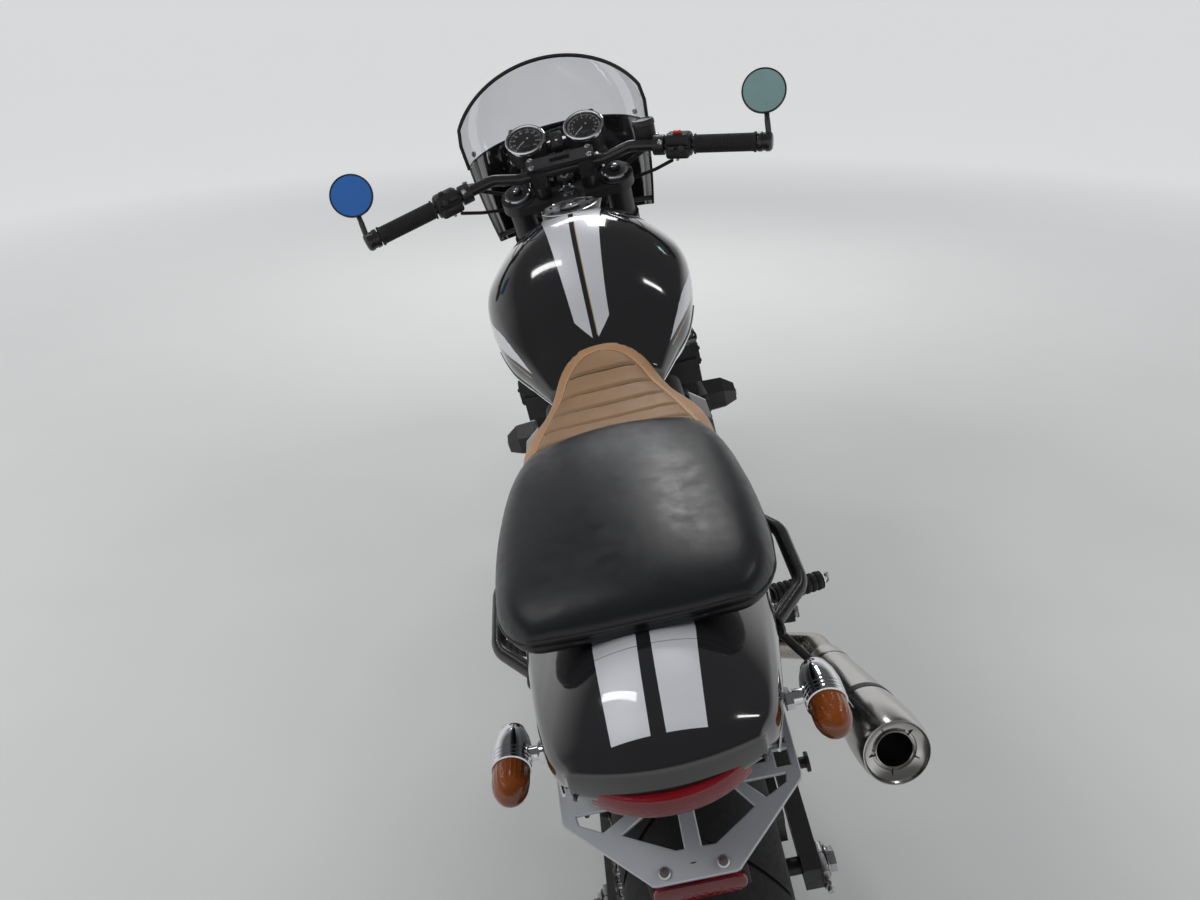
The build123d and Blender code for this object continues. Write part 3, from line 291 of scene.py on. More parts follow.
def dress(name, mesh, body, finishes, slot, nodes="", subdivide=0, thick=0.0, sharp=34.0):
    """Makes the object of a mesh. finishes and nodes are names with spaces between them."""
    obj = linked(name, mesh)
    for which in finishes.split():
        mesh.materials.append(finish[which])
    mesh.shade_smooth()
    mesh.set_sharp_from_angle(angle=radians(sharp))
    obj.matrix_world = TO_ROW
    pieces.append(obj)
    if thick:
        solid = obj.modifiers.new("thick", "SOLIDIFY")
        solid.thickness = thick
        solid.offset = -1
    if subdivide:
        finer = obj.modifiers.new("finer", "SUBSURF")
        finer.levels = subdivide
        finer.render_levels = subdivide
    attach(obj, body)
    present = [node for node in nodes.split() if node in frame["nodes"]]
    if present:
        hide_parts(*present)
    return obj


# Materials

class Recipe:
    """A material's node tree, with short calls that add and join nodes. It is a finish under its name.
    Its coordinates are upright millimetres."""

    def __init__(self, name, **values):
        self.material = bpy.data.materials.new(name)
        self.material.use_nodes = True
        self.nodes = self.material.node_tree.nodes
        self.links = self.material.node_tree.links
        self.shader = self.nodes["Principled BSDF"]
        where = self.add("ShaderNodeTexCoord")
        back = (turn.inverted() @ -shift) * PER_METRE
        mapping = self.add("ShaderNodeMapping", Vector=where.outputs["Object"], Scale=[PER_METRE] * 3,
                           Rotation=(0, LEAN, 0), Location=back)
        self.place = mapping.outputs["Vector"]
        self.normal = None
        self.set(**values)
        finish[name] = self.material

    def put(self, socket, value):
        if isinstance(value, bpy.types.NodeSocket):
            self.links.new(value, socket)
        else:
            socket.default_value = value

    def add(self, kind, **inputs):
        node = self.nodes.new(kind)
        for key, value in inputs.items():
            self.put(node.inputs[key.replace("_", " ")], value)
        return node

    def maths(self, operation, a, b=0.0):
        node = self.nodes.new("ShaderNodeMath")
        node.operation = operation
        self.put(node.inputs[0], a)
        self.put(node.inputs[1], b)
        return node.outputs[0]

    def off(self, value, middle):
        """How far a value lies from a middle one."""
        return self.maths("ABSOLUTE", self.maths("SUBTRACT", value, middle))

    def all_of(self, *values):
        """1 where every value is 1."""
        found = values[0]
        for value in values[1:]:
            found = self.maths("MULTIPLY", found, value)
        return found

    def split(self):
        node = self.add("ShaderNodeSeparateXYZ", Vector=self.place)
        return node.outputs[0], node.outputs[1], node.outputs[2]

    def stretch(self, x, y, z):
        return self.add("ShaderNodeMapping", Vector=self.place, Scale=(x, y, z)).outputs[0]

    def noise(self, scale, detail=3.0, vector=None, rough=0.55):
        where = vector or self.place
        return self.add("ShaderNodeTexNoise", Vector=where, Scale=scale, Detail=detail,
            Roughness=rough).outputs[0]

    def cells(self, scale, feature="SMOOTH_F1"):
        node = self.add("ShaderNodeTexVoronoi", Vector=self.place, Scale=scale)
        node.feature = feature
        return node.outputs["Distance"]

    def mark(self, name):
        """A value that the mesh carries at each point."""
        node = self.nodes.new("ShaderNodeAttribute")
        node.attribute_name = name
        return node.outputs["Fac"]

    def span(self, value, low, high, to_low, to_high):
        node = self.add("ShaderNodeMapRange", Value=value)
        for socket, number in zip(node.inputs[1:5], (low, high, to_low, to_high)):
            self.put(socket, number)
        return node.outputs[0]

    def vary(self, noise, low, high):
        """A noise's middle range, spread from low to high."""
        return self.span(noise, 0.3, 0.7, low, high)

    def table(self, value, points):
        """Straight runs between (input, output) points."""
        xs, ys = [p[0] for p in points], [p[1] for p in points]
        node = self.add("ShaderNodeFloatCurve", Value=self.span(value, xs[0], xs[-1], 0.0, 1.0))
        curve_of = node.mapping.curves[0]
        low, high = min(ys) - 1, max(ys) + 1
        spots = [((x - xs[0]) / (xs[-1] - xs[0]), (y - low) / (high - low)) for x, y in points]
        curve_of.points[0].location, curve_of.points[1].location = spots[0], spots[-1]
        for spot_at in spots[1:-1]:
            curve_of.points.new(*spot_at)
        for point in curve_of.points:
            point.handle_type = "VECTOR"
        node.mapping.update()
        return self.span(node.outputs[0], 0.0, 1.0, low, high)

    def mix(self, factor, a, b):
        node = self.nodes.new("ShaderNodeMix")
        node.data_type = "RGBA"
        self.put(node.inputs[0], factor)
        self.put(node.inputs[6], a)
        self.put(node.inputs[7], b)
        return node.outputs[2]

    def tint(self, factor, colour, low, high):
        """One colour, from its dark shade to its light one."""
        return self.mix(factor, shade(colour, low), shade(colour, high))

    def bump(self, height, depth, strength=1.0):
        """Adds relief: depth is in millimetres for a height of 1."""
        node = self.add("ShaderNodeBump", Height=height, Distance=depth * MM, Strength=strength)
        if self.normal is not None:
            self.put(node.inputs["Normal"], self.normal)
        self.normal = node.outputs[0]
        self.put(self.shader.inputs["Normal"], self.normal)
        return self

    def set(self, **values):
        for key, value in values.items():
            self.put(self.shader.inputs[key.replace("_", " ")], value)
        return self


def shade(colour, factor):
    return tuple(min(1.0, c * factor) for c in colour[:3]) + (1.0,)


def surface(name, colour, rough, spread=0.08, vary=0.25, patch=0.02, grain=None, depth=0.0, **values):
    """A finish with blotches in colour and gloss and a fine grain in relief."""
    recipe = Recipe(name, **values)
    blotch = recipe.noise(patch, 4)
    recipe.set(Base_Color=recipe.tint(blotch, colour, 1 - vary, 1 + vary))
    fine = recipe.noise(patch * 9, 3)
    recipe.set(Roughness=recipe.vary(fine, max(0.0, rough - spread), min(1.0, rough + spread)))
    if grain:
        recipe.bump(recipe.noise(grain, 3), depth)
    return recipe


BLACK = (0.011, 0.011, 0.012)
SILVER = (0.62, 0.63, 0.66, 1.0)
GOLD = (0.36, 0.27, 0.12, 1.0)


def stripe_mask(r, side, along, inner, outer_at, outer, tip, tip_slope):
    """1 inside a pair of stripes that narrow along the machine and end in a slanted tip."""
    width = r.span(along, outer_at[0], outer_at[1], outer[0], outer[1])
    inside = r.all_of(r.maths("GREATER_THAN", side, inner), r.maths("LESS_THAN", side, width))
    slant = r.maths("MULTIPLY", r.maths("SUBTRACT", along, tip), tip_slope)
    return r.all_of(inside, r.maths("LESS_THAN", side, slant))


def gloss_paint(name):
    recipe = surface(name, BLACK, 0.1, 0.03, 0.3, 0.01, Coat_Weight=1.0, Coat_Roughness=0.02,
        Specular_IOR_Level=0.5)
    recipe.bump(recipe.noise(0.06, 2), 0.02)
    return recipe


def painted(recipe, mask, pin=None):
    """Silver stripes of fine metal flake, and a pin line, over the black."""
    base = recipe.shader.inputs["Base Color"].links[0].from_socket
    flake = recipe.noise(2.2, 2)
    silver = recipe.tint(flake, SILVER, 0.82, 1.22)
    colour = recipe.mix(mask, base, silver)
    if pin is not None:
        colour = recipe.mix(pin, colour, GOLD)
    gloss = recipe.shader.inputs["Roughness"].links[0].from_socket
    recipe.set(
        Base_Color=colour,
        Roughness=recipe.maths("ADD", gloss, recipe.maths("MULTIPLY", mask, 0.3)),
        Metallic=recipe.maths("MULTIPLY", mask, 0.35),
    )


def make_tank_paint():
    recipe = gloss_paint("tank_paint")
    x, y, z = recipe.split()
    side = recipe.maths("ABSOLUTE", x)
    stripes = stripe_mask(recipe, side, y, 5.0, (-50, 193), (29.5, 56), -79, 1.0)
    pin = recipe.maths("LESS_THAN", recipe.off(x, 4.2), 0.8)
    pin = recipe.all_of(pin, recipe.maths("GREATER_THAN", y, -72))
    # A silver blade sweeps along each flank to a point at the rear, with a pin line below it
    upper = recipe.table(y, ((-74, 811), (-60, 820), (-40, 836), (-20, 850), (0, 859), (20, 864), (60, 867),
        (120, 863), (320, 862)))
    lower = recipe.table(y, ((-74, 811), (-60, 816), (-40, 825), (-20, 832), (0, 835), (20, 836), (60, 835),
        (120, 831), (320, 842)))
    flank = recipe.all_of(recipe.maths("GREATER_THAN", side, 70), recipe.maths("GREATER_THAN", y, -74))
    blade = recipe.all_of(recipe.maths("LESS_THAN", z, upper), recipe.maths("GREATER_THAN", z, lower), flank)
    under = recipe.maths("LESS_THAN", recipe.maths("ABSOLUTE",
        recipe.maths("ADD", recipe.maths("SUBTRACT", z, lower), 7)), 0.9)
    pin = recipe.maths("MAXIMUM", pin, recipe.all_of(under, flank))
    painted(recipe, recipe.maths("MAXIMUM", stripes, blade), pin)


def make_tail_paint():
    recipe = gloss_paint("tail_paint")
    x, y, _ = recipe.split()
    side = recipe.maths("ABSOLUTE", x)
    stripes = stripe_mask(recipe, side, y, 7.0, (-896, -775), (43, 52), -896, 90.0)
    # The hump's panel line crosses the stripes behind the pad
    seam = recipe.maths("LESS_THAN", recipe.off(y, -792), 0.7)
    stripes = recipe.all_of(stripes, recipe.maths("SUBTRACT", 1.0, recipe.maths("MULTIPLY", seam, 0.6)))
    painted(recipe, stripes)


def streaked(name, colour, rough, stretch, amount=0.1, depth=0.02, **values):
    """A brushed metal whose fine lines run along one way."""
    recipe = Recipe(name, Metallic=1.0, **values)
    line = recipe.noise(1.0, 3, recipe.stretch(*stretch))
    blotch = recipe.noise(0.012, 3)
    recipe.set(Base_Color=recipe.tint(blotch, colour, 0.88, 1.1))
    recipe.set(Roughness=recipe.span(line, 0.25, 0.75, rough - amount, rough + amount))
    recipe.bump(line, depth)
    return recipe


def ring_lines(recipe, centre, scale):
    """Fine rings about an axle, from the distance to it."""
    x, y, z = recipe.split()
    away = recipe.maths("POWER", recipe.maths("SUBTRACT", y, centre.y), 2.0)
    high = recipe.maths("POWER", recipe.maths("SUBTRACT", z, centre.z), 2.0)
    radius = recipe.maths("SQRT", recipe.maths("ADD", away, high))
    spot = recipe.add("ShaderNodeCombineXYZ", X=recipe.maths("MULTIPLY", radius, scale),
        Y=recipe.maths("MULTIPLY", x, 0.02))
    return recipe.noise(1.0, 2, spot.outputs[0])


def make_disc(name, centre):
    recipe = Recipe(name, Metallic=1.0)
    line = ring_lines(recipe, centre, 1.4)
    recipe.set(
        Base_Color=recipe.mix(line, (0.32, 0.32, 0.33, 1), (0.55, 0.55, 0.56, 1)),
        Roughness=recipe.vary(line, 0.2, 0.42),
    )
    recipe.bump(line, 0.05)


def make_headers():
    """Stainless that has turned straw and blue near the ports and stayed grey further down."""
    recipe = streaked("header_steel", (0.5, 0.47, 0.43), 0.26, (0.4, 0.4, 0.03), 0.08)
    z = recipe.split()[2]
    uneven = recipe.maths("MULTIPLY", recipe.noise(0.02, 3), 90)
    heat = recipe.span(recipe.maths("ADD", z, uneven), 330, 640, 0, 1)
    ramp = recipe.nodes.new("ShaderNodeValToRGB")
    recipe.put(ramp.inputs[0], heat)
    stops = ((0.0, (0.5, 0.47, 0.43)), (0.45, (0.46, 0.36, 0.22)), (0.7, (0.33, 0.2, 0.16)),
        (0.85, (0.14, 0.12, 0.26)), (1.0, (0.16, 0.2, 0.26)))
    while len(ramp.color_ramp.elements) < len(stops):
        ramp.color_ramp.elements.new(0.5)
    for element, (spot, colour) in zip(ramp.color_ramp.elements, stops):
        element.position = spot
        element.color = colour + (1,)
    recipe.set(Base_Color=ramp.outputs[0])


# Where the saddle's cross channels lie along the machine
CHANNELS = (-157, -200, -245, -292, -337)


def make_leather(name, colour, rough, pore, depth, wear, sheen, border=None):
    """Hide with pores, fine creases and worn patches; a sewn cover adds its seam, border and channels, with a
    painted highlight and rubbed wear on the raised edge beside the seam and painted shade beside the
    channels.
    """
    recipe = Recipe(name, Specular_IOR_Level=0.42, Sheen_Weight=sheen, Sheen_Roughness=0.45)
    pores = recipe.cells(pore)
    crease = recipe.noise(0.12, 6, rough=0.7)
    blotch = recipe.noise(0.013, 4)
    base = recipe.tint(blotch, colour, 0.82, 1.18)
    if border:
        seam = recipe.mark("seam")
        along_it = recipe.mark("along")
        outer = recipe.tint(blotch, border, 0.86, 1.14)
        base = recipe.mix(recipe.span(seam, -0.2, 0.4, 0, 1), base, outer)
        # A lighter band just outside the seam is a painted highlight on its raised edge, with some rubbed
        # wear
        ridge = recipe.span(recipe.off(seam, 2.0), 0.7, 1.7, 0.4, 0)
        base = recipe.mix(ridge, base, shade(border, 1.55))
    pale = recipe.span(recipe.noise(0.02, 5), 0.52, 0.75, 0.0, wear)
    tone = recipe.mix(pale, base, shade(colour, 1.7))
    tone = recipe.mix(recipe.span(pores, 0.0, 0.35, 0.3, 0.0), tone, shade(colour, 0.5))
    if border:
        gap = None
        for line in CHANNELS:
            away = recipe.off(along_it, line)
            gap = away if gap is None else recipe.maths("MINIMUM", gap, away)
        inside = recipe.span(seam, -3.0, -1.5, 1, 0)
        # Painted shade darkens the cover up to 7 mm either side of each channel, inside the seam
        tone = recipe.mix(recipe.all_of(recipe.span(gap, 1.0, 7.0, 0.4, 0), inside), tone,
            shade(colour, 0.45))
        crisp = recipe.all_of(recipe.span(gap, 0.6, 1.4, 0.92, 0), inside)
        sewn = recipe.span(recipe.maths("ABSOLUTE", seam), 0.35, 0.9, 0.75, 0)
        tone = recipe.mix(recipe.maths("MAXIMUM", crisp, sewn), tone, shade(colour, 0.13))
    recipe.set(Base_Color=tone, Roughness=recipe.vary(recipe.noise(0.05, 4), rough - 0.05, rough + 0.07))
    recipe.bump(crease, 0.12, 0.5)
    recipe.bump(pores, depth)


def make_lens(name, colour, cell):
    recipe = Recipe(name, Transmission_Weight=0.55, IOR=1.49, Coat_Weight=0.4, Coat_Roughness=0.04)
    glow = recipe.noise(0.03, 2)
    recipe.set(Base_Color=recipe.tint(glow, colour, 0.75, 1.25))
    recipe.set(Roughness=recipe.vary(recipe.noise(0.2, 2), 0.08, 0.16))
    recipe.bump(recipe.cells(cell, feature="F1"), 0.25)


def make_clear(name, colour, rough):
    recipe = Recipe(name, Transmission_Weight=1.0, IOR=1.46)
    haze = recipe.noise(0.015, 4)
    recipe.set(Base_Color=recipe.tint(haze, colour, 0.94, 1.04))
    recipe.set(Roughness=recipe.vary(haze, rough, rough + 0.03))


def make_mirror(name, colour):
    recipe = Recipe(name, Metallic=0.55)
    haze = recipe.noise(0.03, 4)
    recipe.set(Base_Color=recipe.tint(haze, colour, 0.92, 1.05))
    recipe.set(Roughness=recipe.span(haze, 0.35, 0.7, 0.015, 0.05))


def make_core():
    """Radiator core: fine fins between flat tubes."""
    recipe = surface("radiator_core", (0.02, 0.02, 0.02), 0.5, grain=1.2, depth=0.1)
    x, _, z = recipe.split()
    fins = recipe.maths("PINGPONG", x, 1.1)
    tubes = recipe.maths("GREATER_THAN", recipe.maths("PINGPONG", z, 5.0), 4.1)
    recipe.bump(recipe.maths("MAXIMUM", recipe.span(fins, 0, 1.1, 0, 0.7), tubes), 1.6)


def make_finishes():
    # Each has a name, colour, roughness, its spread, variation, blotch size, grain, depth and shader values
    surface("frame_black", (0.014, 0.014, 0.015), 0.34, 0.08, 0.3, 0.015, 0.35, 0.06, Coat_Weight=0.35,
        Coat_Roughness=0.2)
    surface("satin_black", (0.018, 0.018, 0.019), 0.42, 0.08, 0.3, 0.02, 0.8, 0.05)
    surface("wheel_black", (0.012, 0.012, 0.013), 0.3, 0.06, 0.3, 0.015, 0.25, 0.05, Coat_Weight=0.5,
        Coat_Roughness=0.12)
    surface("cast_black", (0.022, 0.022, 0.023), 0.52, 0.1, 0.35, 0.02, 0.9, 0.22)
    surface("cover_black", (0.016, 0.016, 0.017), 0.36, 0.08, 0.3, 0.02, 0.5, 0.06, Coat_Weight=0.3,
        Coat_Roughness=0.2)
    surface("plastic", (0.014, 0.014, 0.015), 0.5, 0.08, 0.2, 0.03, 1.1, 0.09, Specular_IOR_Level=0.4)
    surface("rubber", (0.014, 0.014, 0.014), 0.7, 0.1, 0.3, 0.03, 0.9, 0.12)
    surface("tyre", (0.019, 0.019, 0.0195), 0.78, 0.09, 0.35, 0.02, 0.7, 0.15, Specular_IOR_Level=0.35)
    surface("print_white", (0.72, 0.72, 0.7), 0.5, 0.08, 0.06, 0.05)
    surface("needle_white", (0.85, 0.84, 0.8), 0.4, 0.08, 0.05, 0.05)
    surface("kill_red", (0.42, 0.012, 0.012), 0.38, 0.08, 0.2, 0.05, 1.0, 0.05)
    surface("dial_grey", (0.05, 0.055, 0.05), 0.3, 0.05, 0.1, 0.05)
    surface("dial_black", (0.008, 0.008, 0.009), 0.55, 0.08, 0.2, 0.05, 0.8, 0.04)
    surface("tan_thread", (0.5, 0.36, 0.22), 0.75, 0.08, 0.2, 0.1, 1.5, 0.15)
    surface("dark_thread", (0.05, 0.05, 0.05), 0.7, 0.08, 0.2, 0.1, 1.5, 0.15)
    surface("piping", (0.016, 0.016, 0.016), 0.5, 0.08, 0.2, 0.05, 1.0, 0.1)
    surface("zinc", (0.6, 0.6, 0.61), 0.32, 0.1, 0.14, 0.05, 1.0, 0.04, Metallic=1.0)
    surface("black_zinc", (0.06, 0.06, 0.062), 0.4, 0.1, 0.25, 0.05, 1.0, 0.04, Metallic=0.8)
    surface("chrome", (0.78, 0.79, 0.81), 0.07, 0.035, 0.05, 0.02, Metallic=1.0)
    surface("cast_alloy", (0.5, 0.5, 0.51), 0.42, 0.1, 0.14, 0.03, 0.9, 0.12, Metallic=1.0)
    surface("chain_steel", (0.3, 0.28, 0.25), 0.4, 0.12, 0.35, 0.05, 1.0, 0.08, Metallic=1.0)
    surface("spring_black", (0.012, 0.012, 0.013), 0.25, 0.06, 0.3, 0.03, 0.5, 0.03, Coat_Weight=0.6,
        Coat_Roughness=0.08)
    make_tank_paint()
    make_tail_paint()
    gloss_paint("gloss_black")
    streaked("brushed_alloy", (0.5, 0.52, 0.55), 0.44, (0.05, 1.6, 1.6), 0.04, 0.008).set(Metallic=0.45)
    streaked("stainless", (0.6, 0.585, 0.565), 0.2, (0.9, 0.06, 0.9), 0.07, 0.015)
    make_disc("front_disc", FRONT_AXLE)
    make_disc("rear_disc", REAR_AXLE)
    make_headers()
    make_leather("tan_leather", (0.262, 0.155, 0.082), 0.47, 0.45, 0.12, 0.12, 0.05, (0.35, 0.195, 0.096))
    make_leather("black_vinyl", (0.01, 0.0105, 0.012), 0.33, 0.85, 0.05, 0.02, 0.0)
    make_lens("red_lens", (0.34, 0.004, 0.014), 0.32)
    make_lens("amber_lens", (0.38, 0.09, 0.011), 0.4)
    make_clear("smoked_glass", (0.7, 0.71, 0.74), 0.01)
    make_clear("clear_glass", (0.95, 0.96, 0.97), 0.0)
    # The mirror glasses' colours are painted reflections, blue on the left and teal on the right
    make_mirror("blue_mirror", (0.07, 0.24, 0.72))
    make_mirror("teal_mirror", (0.36, 0.56, 0.55))
    make_core()


make_finishes()


# Body sections, as y, half width, waist, top, foot, foot half width and shoulder radius

TANK = (
    (326, 92, 868, 916, 838, 80, 26),
    (296, 138, 862, 958, 800, 118, 50),
    (232, 172, 864, 988, 778, 150, 66),
    (110, 186, 866, 986, 770, 160, 66),
    (0, 164, 832, 926, 764, 140, 50),
    (-64, 128, 800, 858, 760, 108, 34),
    (-116, 96, 776, 812, 758, 84, 20),
)
SADDLE = (
    (-101, 42, 836, 848, 826, 40, 9),
    (-106, 57, 826, 845, 812, 55, 13),
    (-116, 72, 813, 839, 792, 70, 17),
    (-132, 83, 802, 830, 776, 81, 20),
    (-190, 108, 782, 809, 744, 108, 22),
    (-280, 143, 774, 801, 742, 140, 24),
    (-362, 138, 780, 812, 748, 134, 26),
)
PAD = (
    (-352, 84, 807, 825, 799, 80, 12),
    (-364, 106, 808, 834, 796, 101, 17),
    (-386, 127, 810, 841, 790, 122, 22),
    (-438, 143, 811, 845, 788, 137, 26),
    (-500, 153, 810, 848, 788, 147, 30),
    (-600, 159, 810, 850, 788, 153, 32),
    (-700, 153, 813, 849, 790, 147, 30),
    (-745, 138, 817, 846, 796, 132, 24),
    (-770, 118, 822, 840, 802, 112, 15),
)
TAIL = (
    (-376, 130, 736, 788, 700, 128, 20),
    (-585, 147, 716, 786, 650, 138, 30),
    (-779, 126, 752, 812, 700, 118, 26),
    (-880, 106, 766, 804, 736, 100, 18),
    (-922, 90, 772, 792, 752, 86, 9),
)
# What lifting a body's skin by 1 mm adds to each number of a section
GROW = np.array((0, 1, 0, 1, -1, 1, 1))


def spot(row, s):
    """A point of a section: s runs to 1 up the flank, to 2 round the shoulder, to 3 at the crown's middle."""
    y, half, waist, top, foot, foot_half, shoulder = row
    rise = top - waist
    crown = ((half - shoulder) ** 2 + rise ** 2 - shoulder ** 2) / (2 * (rise - shoulder))
    start = atan2(crown - rise, half - shoulder)
    if s < 1:
        middle = (half * 2 + foot_half) / 3 + 0.06 * (waist - foot)
        bulge = 2 * middle - (foot_half + half) / 2
        return (1 - s) ** 2 * foot_half + 2 * s * (1 - s) * bulge + s * s * half, y, foot + (waist - foot) * s
    if s < 2:
        angle = start * (s - 1)
        return half - shoulder + shoulder * cos(angle), y, waist + shoulder * sin(angle)
    angle = start + (pi / 2 - start) * (s - 2)
    return crown * cos(angle), y, top - crown + crown * sin(angle)


def row_at(rows, y):
    fine = np.array(smooth(rows, 16))[::-1]
    return np.array([np.interp(y, fine[:, 0], fine[:, k]) for k in range(7)])


def over(row, steps=(6, 6, 9)):
    """The outline of a section from its right foot over the crown to its left foot."""
    right = [spot(row, i + k / n) for i, n in enumerate(steps) for k in range(n)]
    return right + [spot(row, 3)] + [(-x, y, z) for x, y, z in reversed(right)]


def along(rows, s, start, stop, count=24, lift=0.0, side=1):
    """A line on a body's skin, at a lift above it. s is one number or one for each end."""
    ends = s if isinstance(s, tuple) else (s, s)
    line = []
    for k in range(count + 1):
        t = k / count
        x, y, z = spot(row_at(rows, start + (stop - start) * t) + lift * GROW,
            ends[0] + (ends[1] - ends[0]) * t)
        line.append(Vector((side * x, y, z)))
    return line


def top_of(rows, x, y):
    """The height of a body's skin above a point."""
    row = row_at(rows, y)
    points = [spot(row, 1 + k / 12) for k in range(25)]
    xs = [p[0] for p in points][::-1]
    zs = [p[2] for p in points][::-1]
    return np.interp(abs(x), xs, zs, right=0.0)


# Fuel tank: a shell with a tunnel over the frame

TUNNEL_WIDE, TUNNEL_TOP = 88, 840


def tank_ring(row, close=0.0, ahead=0.0):
    """A section of the tank's skin and tunnel. close draws it in where the shell ends, up to 1."""
    y, top, foot, foot_half = row[0], row[3], row[4], row[5]
    wide = min(TUNNEL_WIDE, foot_half - 10)
    roof = min(TUNNEL_TOP + 30 * min(max((y - 250) / 25, 0), 1), top - 16)
    ring = []
    for x, _, z in over(row):
        near_x = min(max(x, -wide - 2), wide + 2)
        near_z = max(roof + 2, z - (z - roof) * 0.98) if abs(x) < wide else z
        ring.append((x + (near_x - x) * close, y + ahead, z + (near_z - z) * close))
    side = [(-wide - 3, foot), (-wide, foot + 4), (-wide, roof - 14), (-wide + 14, roof)]
    if close == 0:
        side.insert(0, (-foot_half + 4, foot))
    else:
        side.insert(0, (-wide - 2 - (foot_half - wide) * (1 - close) * 0.9, foot))
    under = side + [(-x, z) for x, z in reversed(side)]
    return ring + [(x, y + ahead, z) for x, z in under]


CAP_AT = (0, 239, 990)


def make_tank():
    rows = smooth(TANK, 7)
    front = [(0.95, 12), (0.5, 9.5), (0.16, 5)]
    rings = [tank_ring(rows[0], close, ahead) for close, ahead in front]
    rings += [tank_ring(row) for row in rows]
    rings += [tank_ring(rows[-1], close, -ahead * 0.6) for close, ahead in reversed(front)]
    build("tank", Shape().add(stack(rings, ends=False)), "chassis", "tank_paint", "gloss_black", "fuel_tank",
          subdivide=1, sharp=60)
    trim = Shape()
    for side in (-1, 1):
        trim.add(tube(along(TANK, (0.5, 0.3), 60, -114, lift=0.6, side=side), 2.2, 8))
        trim.add(tube(along(TANK, (0.16, 0.04), 40, -114, lift=0.4, side=side), 1.7, 8))
    build("tank_trims", trim, "chassis", "chrome", "chrome")
    cap = Shape()
    place = at(*CAP_AT)
    cap.turned([(50, -12), (54, -10), (54, 1), (52.5, 2.4), (49, 2.8), (47, 1.6), (0.1, 1.2)], 72, place)
    cap.turned([(53.0, 1.4), (54.2, 1.8), (54, 2.9), (52.8, 3.2), (52.2, 2.4)], 72, place, 1, loop=True)
    flap = [(x, 1.15 * y) for x, y in round_points(6, 21, pi / 6)]
    cap.add(prism(flap, 5, 1.2), place @ at(0, -4, 3.6))
    cap.turned([(6.5, 0), (6.5, 1.6), (5.4, 2.2), (2.2, 2.2), (2.1, 0.8), (0.1, 0.8)], 24,
        place @ at(0, -4, 5.4), 1)
    cap.add(prism([(14, 0), (11, 5), (-11, 5), (-14, 0), (-9, -3), (9, -3)], 3, 0.8), place @ at(0, 28, 3.0))
    for x, y in round_points(6, 40, pi / 6):
        cap.cap_screw(place @ at(x, y, 1.2), 3.2, 2.0, 2)
    build("fuel_cap_lid", cap, "chassis", "cover_black chrome black_zinc", "gloss_black", "fuel_cap",
        sharp=40)


# Cushions: the sewn line round the saddle's middle panel, as y and half width

SEAM = ((-112, 0), (-113, 12), (-116, 24), (-121, 34), (-129, 43), (-140, 51), (-155, 60), (-184, 71),
    (-230, 87), (-287, 103), (-350, 119))


def seam_at(y):
    return np.interp(y, [p[0] for p in SEAM][::-1], [p[1] for p in SEAM][::-1])


def seam_gap(side, y):
    """How far points lie outside the sewn line round the middle panel; negative inside."""
    line = np.array([tuple(p) for p in resample([(x, at_y, 0) for at_y, x in SEAM], 1.5)])
    nearest = np.full(len(side), 1e9)
    for x, at_y, _ in line:
        nearest = np.minimum(nearest, np.hypot(side - x, y - at_y))
    return np.where((side > seam_at(y)) | (y > SEAM[0][0]), nearest, -nearest)


def settled(obj):
    """The object's mesh with its modifiers applied; the object itself is taken away."""
    graph = bpy.context.evaluated_depsgraph_get()
    mesh = bpy.data.meshes.new_from_object(obj.evaluated_get(graph))
    bpy.data.objects.remove(obj)
    return mesh


def coordinates(mesh, layer="co"):
    found = np.empty(len(mesh.vertices) * 3)
    if layer == "co":
        mesh.vertices.foreach_get("co", found)
    else:
        mesh.vertex_normals.foreach_get("vector", found)
    return found.reshape(-1, 3)


def calmed(mesh, moved, rounds):
    """Movements averaged with their neighbours', so that a taut cover has no folds."""
    ends = np.empty(len(mesh.edges) * 2, dtype=int)
    mesh.edges.foreach_get("vertices", ends)
    one, two = ends[0::2], ends[1::2]
    count = len(mesh.vertices)
    links = np.maximum(np.bincount(one, minlength=count) + np.bincount(two, minlength=count), 1)
    for _ in range(rounds):
        total = [np.bincount(one, moved[two, k], count) + np.bincount(two, moved[one, k], count)
            for k in range(3)]
        moved = 0.5 * moved + 0.5 * np.stack(total, 1) / links[:, None]
    return moved


# The cover's closed skin: how far it starts inside the shape, its cell size and the frames of pressure
TUCK = 2.0
COVER_CELL = 0.0055
COVER_FRAMES = 20


